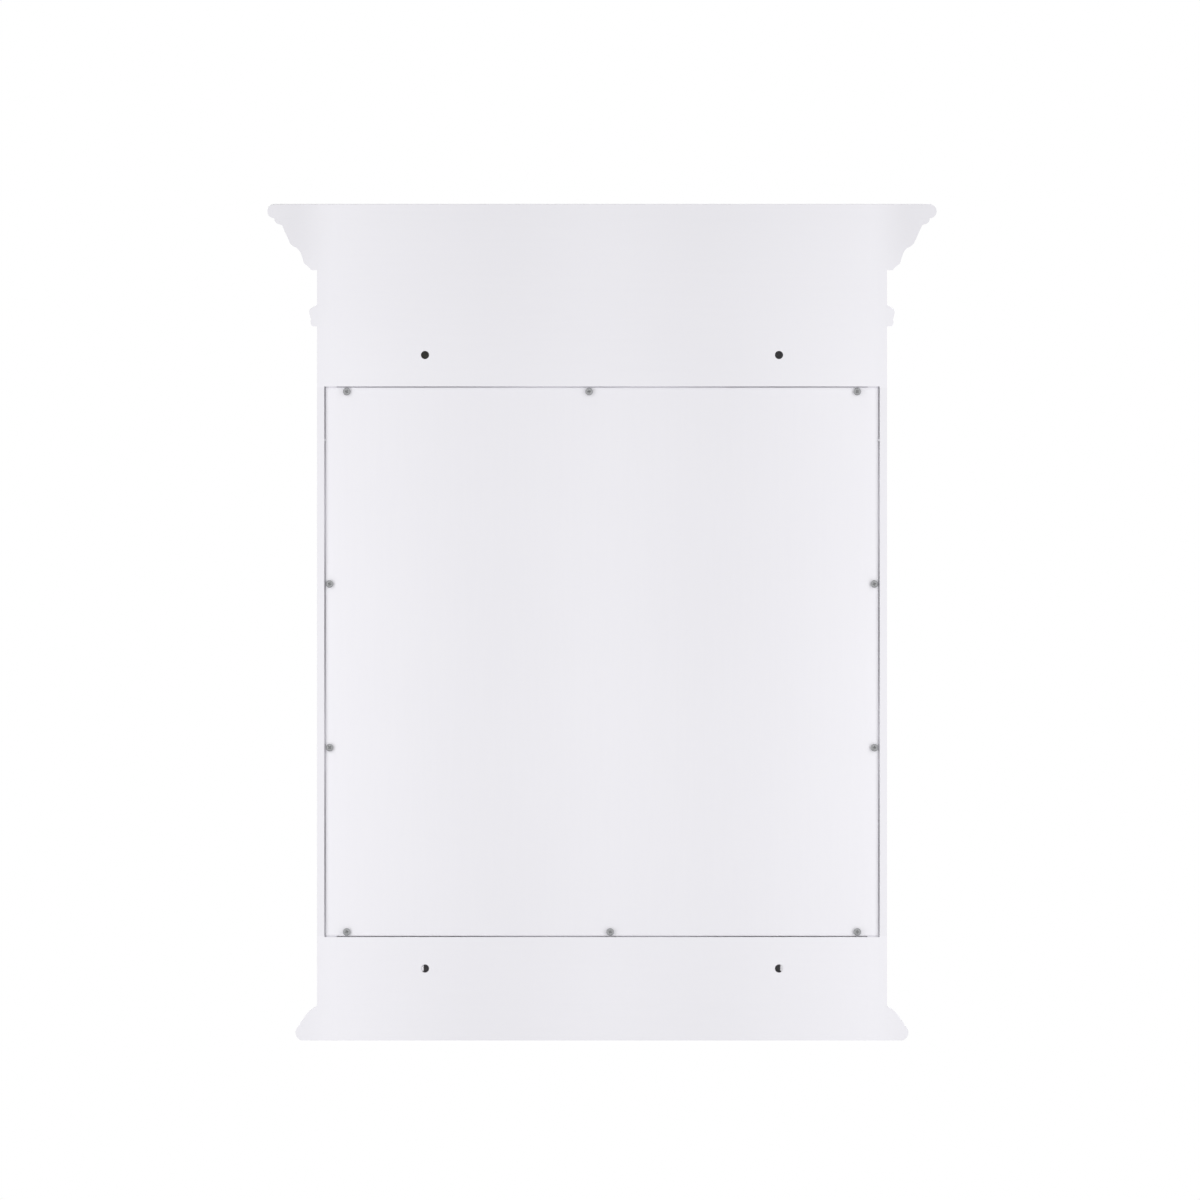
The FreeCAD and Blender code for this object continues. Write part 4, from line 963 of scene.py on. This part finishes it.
DAB_TOP = PANEL_HIGH.y - 0.25 * MM
DAB_DEPTH = 2.5 * MM
DAB_SEEDS = {"left": 10, "right": 11}
BRIDGE_ROW = 440  # pixel row
BRIDGE_Z = photo_height(BRIDGE_ROW)
BRIDGE_HALF = 1.0 * MM
BRIDGE_GRIP = 0.2 * MM  # how far the paint laps over each side of the gap
BRIDGE_TOP = PANEL_HIGH.y + 1.8 * MM  # it climbs the wall of the rebate
BRIDGE_SEEDS = {"left": 20, "right": 21}
SIDES = {"left": -1, "right": 1}
for word, side in SIDES.items():
    ends = sorted((side * PANEL_HIGH.x, side * (PANEL_HIGH.x - DAB_LENGTH)))
    for level, start in (("top", PANEL_HIGH.z), ("bottom", PANEL_LOW.z - PANEL_GAP)):
        low = Vector((ends[0], DAB_TOP - DAB_DEPTH, start))
        high = Vector((ends[1], DAB_TOP, start + PANEL_GAP))
        paint_dab(f"gap_paint_{level}_{word}", low, high, DAB_SEEDS[word])
    near = side * (PANEL_HIGH.x - BRIDGE_GRIP)
    far = side * (PANEL_HIGH.x + PANEL_GAP + BRIDGE_GRIP)
    low = Vector((min(near, far), DAB_TOP - DAB_DEPTH, BRIDGE_Z - BRIDGE_HALF))
    high = Vector((max(near, far), BRIDGE_TOP, BRIDGE_Z + BRIDGE_HALF))
    paint_dab("gap_bridge_" + word, low, high, BRIDGE_SEEDS[word])
print("paint in the gap: four dabs and two bridges at", round(BRIDGE_Z, 4))

# %% [markdown]
# ## Paint in the lower wall holes
#
# In each lower wall hole a lump of paint hangs on the outer wall and leaves a kidney-shaped opening. The
# lump starts as a ball, drawn out along the wall, leaning, with a nose towards the hole's middle, and a
# Boolean with a plug as wide as the hole trims it to the hole's wall.

# %% Lumps of paint
LUMP_REACH = 1.3 * MM  # from the hole's axis outwards, where the lump begins
LUMP_SIZE = Vector((3.5, 2.2, 11.0)) * MM
LUMP_LEAN = math.radians(7)
LUMP_NOSE = 0.6 * MM
NOSE_DROP = 1.0 * MM  # of the nose below the hole's axis
NOSE_FACING = 0.8  # it grows from faces whose normal, of length 1, runs inwards by more than this
NOSE_TAPER = (1, 0.8, 0.7)
LUMP_DEPTH = 2.6 * MM
LUMP_SMOOTH = math.radians(40)
PLUG_CLEARANCE = 0.02 * MM
PLUG_LENGTH = 20 * MM
for word, side in SIDES.items():
    axis = Vector((side * HOLE_X, -LUMP_DEPTH, -HOLE_Z))
    start = axis + Vector((side * (LUMP_REACH + LUMP_SIZE.x), 0, 0))
    bpy.ops.mesh.primitive_uv_sphere_add(segments=24, ring_count=32, radius=1, location=start)
    lump = bpy.context.object
    lump.scale = LUMP_SIZE
    lump.rotation_euler.y = -side * LUMP_LEAN
    bpy.ops.object.transform_apply(location=True, rotation=True, scale=True)
    bpy.ops.object.mode_set(mode="EDIT")
    nose = axis.z - NOSE_DROP
    pick_faces(
        lump,
        lambda middle, normal: normal.x * side < -NOSE_FACING and abs(middle.z - nose) < NOSE_DROP,
    )
    bpy.ops.mesh.extrude_region_move(TRANSFORM_OT_translate={"value": (-side * LUMP_NOSE, 0, 0)})
    bpy.ops.transform.resize(value=NOSE_TAPER)
    bpy.ops.object.mode_set(mode="OBJECT")
    apply_modifier(lump, "SUBSURF", levels=1)
    bpy.ops.mesh.primitive_cylinder_add(
        vertices=64, radius=HOLE_RADIUS - PLUG_CLEARANCE, depth=PLUG_LENGTH, location=axis,
        rotation=(math.pi / 2, 0, 0),
    )
    plug = bpy.context.object
    apply_modifier(lump, "BOOLEAN", operation="INTERSECT", object=plug, solver="EXACT")
    only(plug)
    bpy.ops.object.delete()
    only(lump)
    bpy.ops.object.shade_smooth_by_angle(angle=LUMP_SMOOTH)
    finish_piece(lump, "hole_paint_" + word, PANEL_PAINT, "carcass")
    print(lump.name, "faces", len(lump.data.polygons))
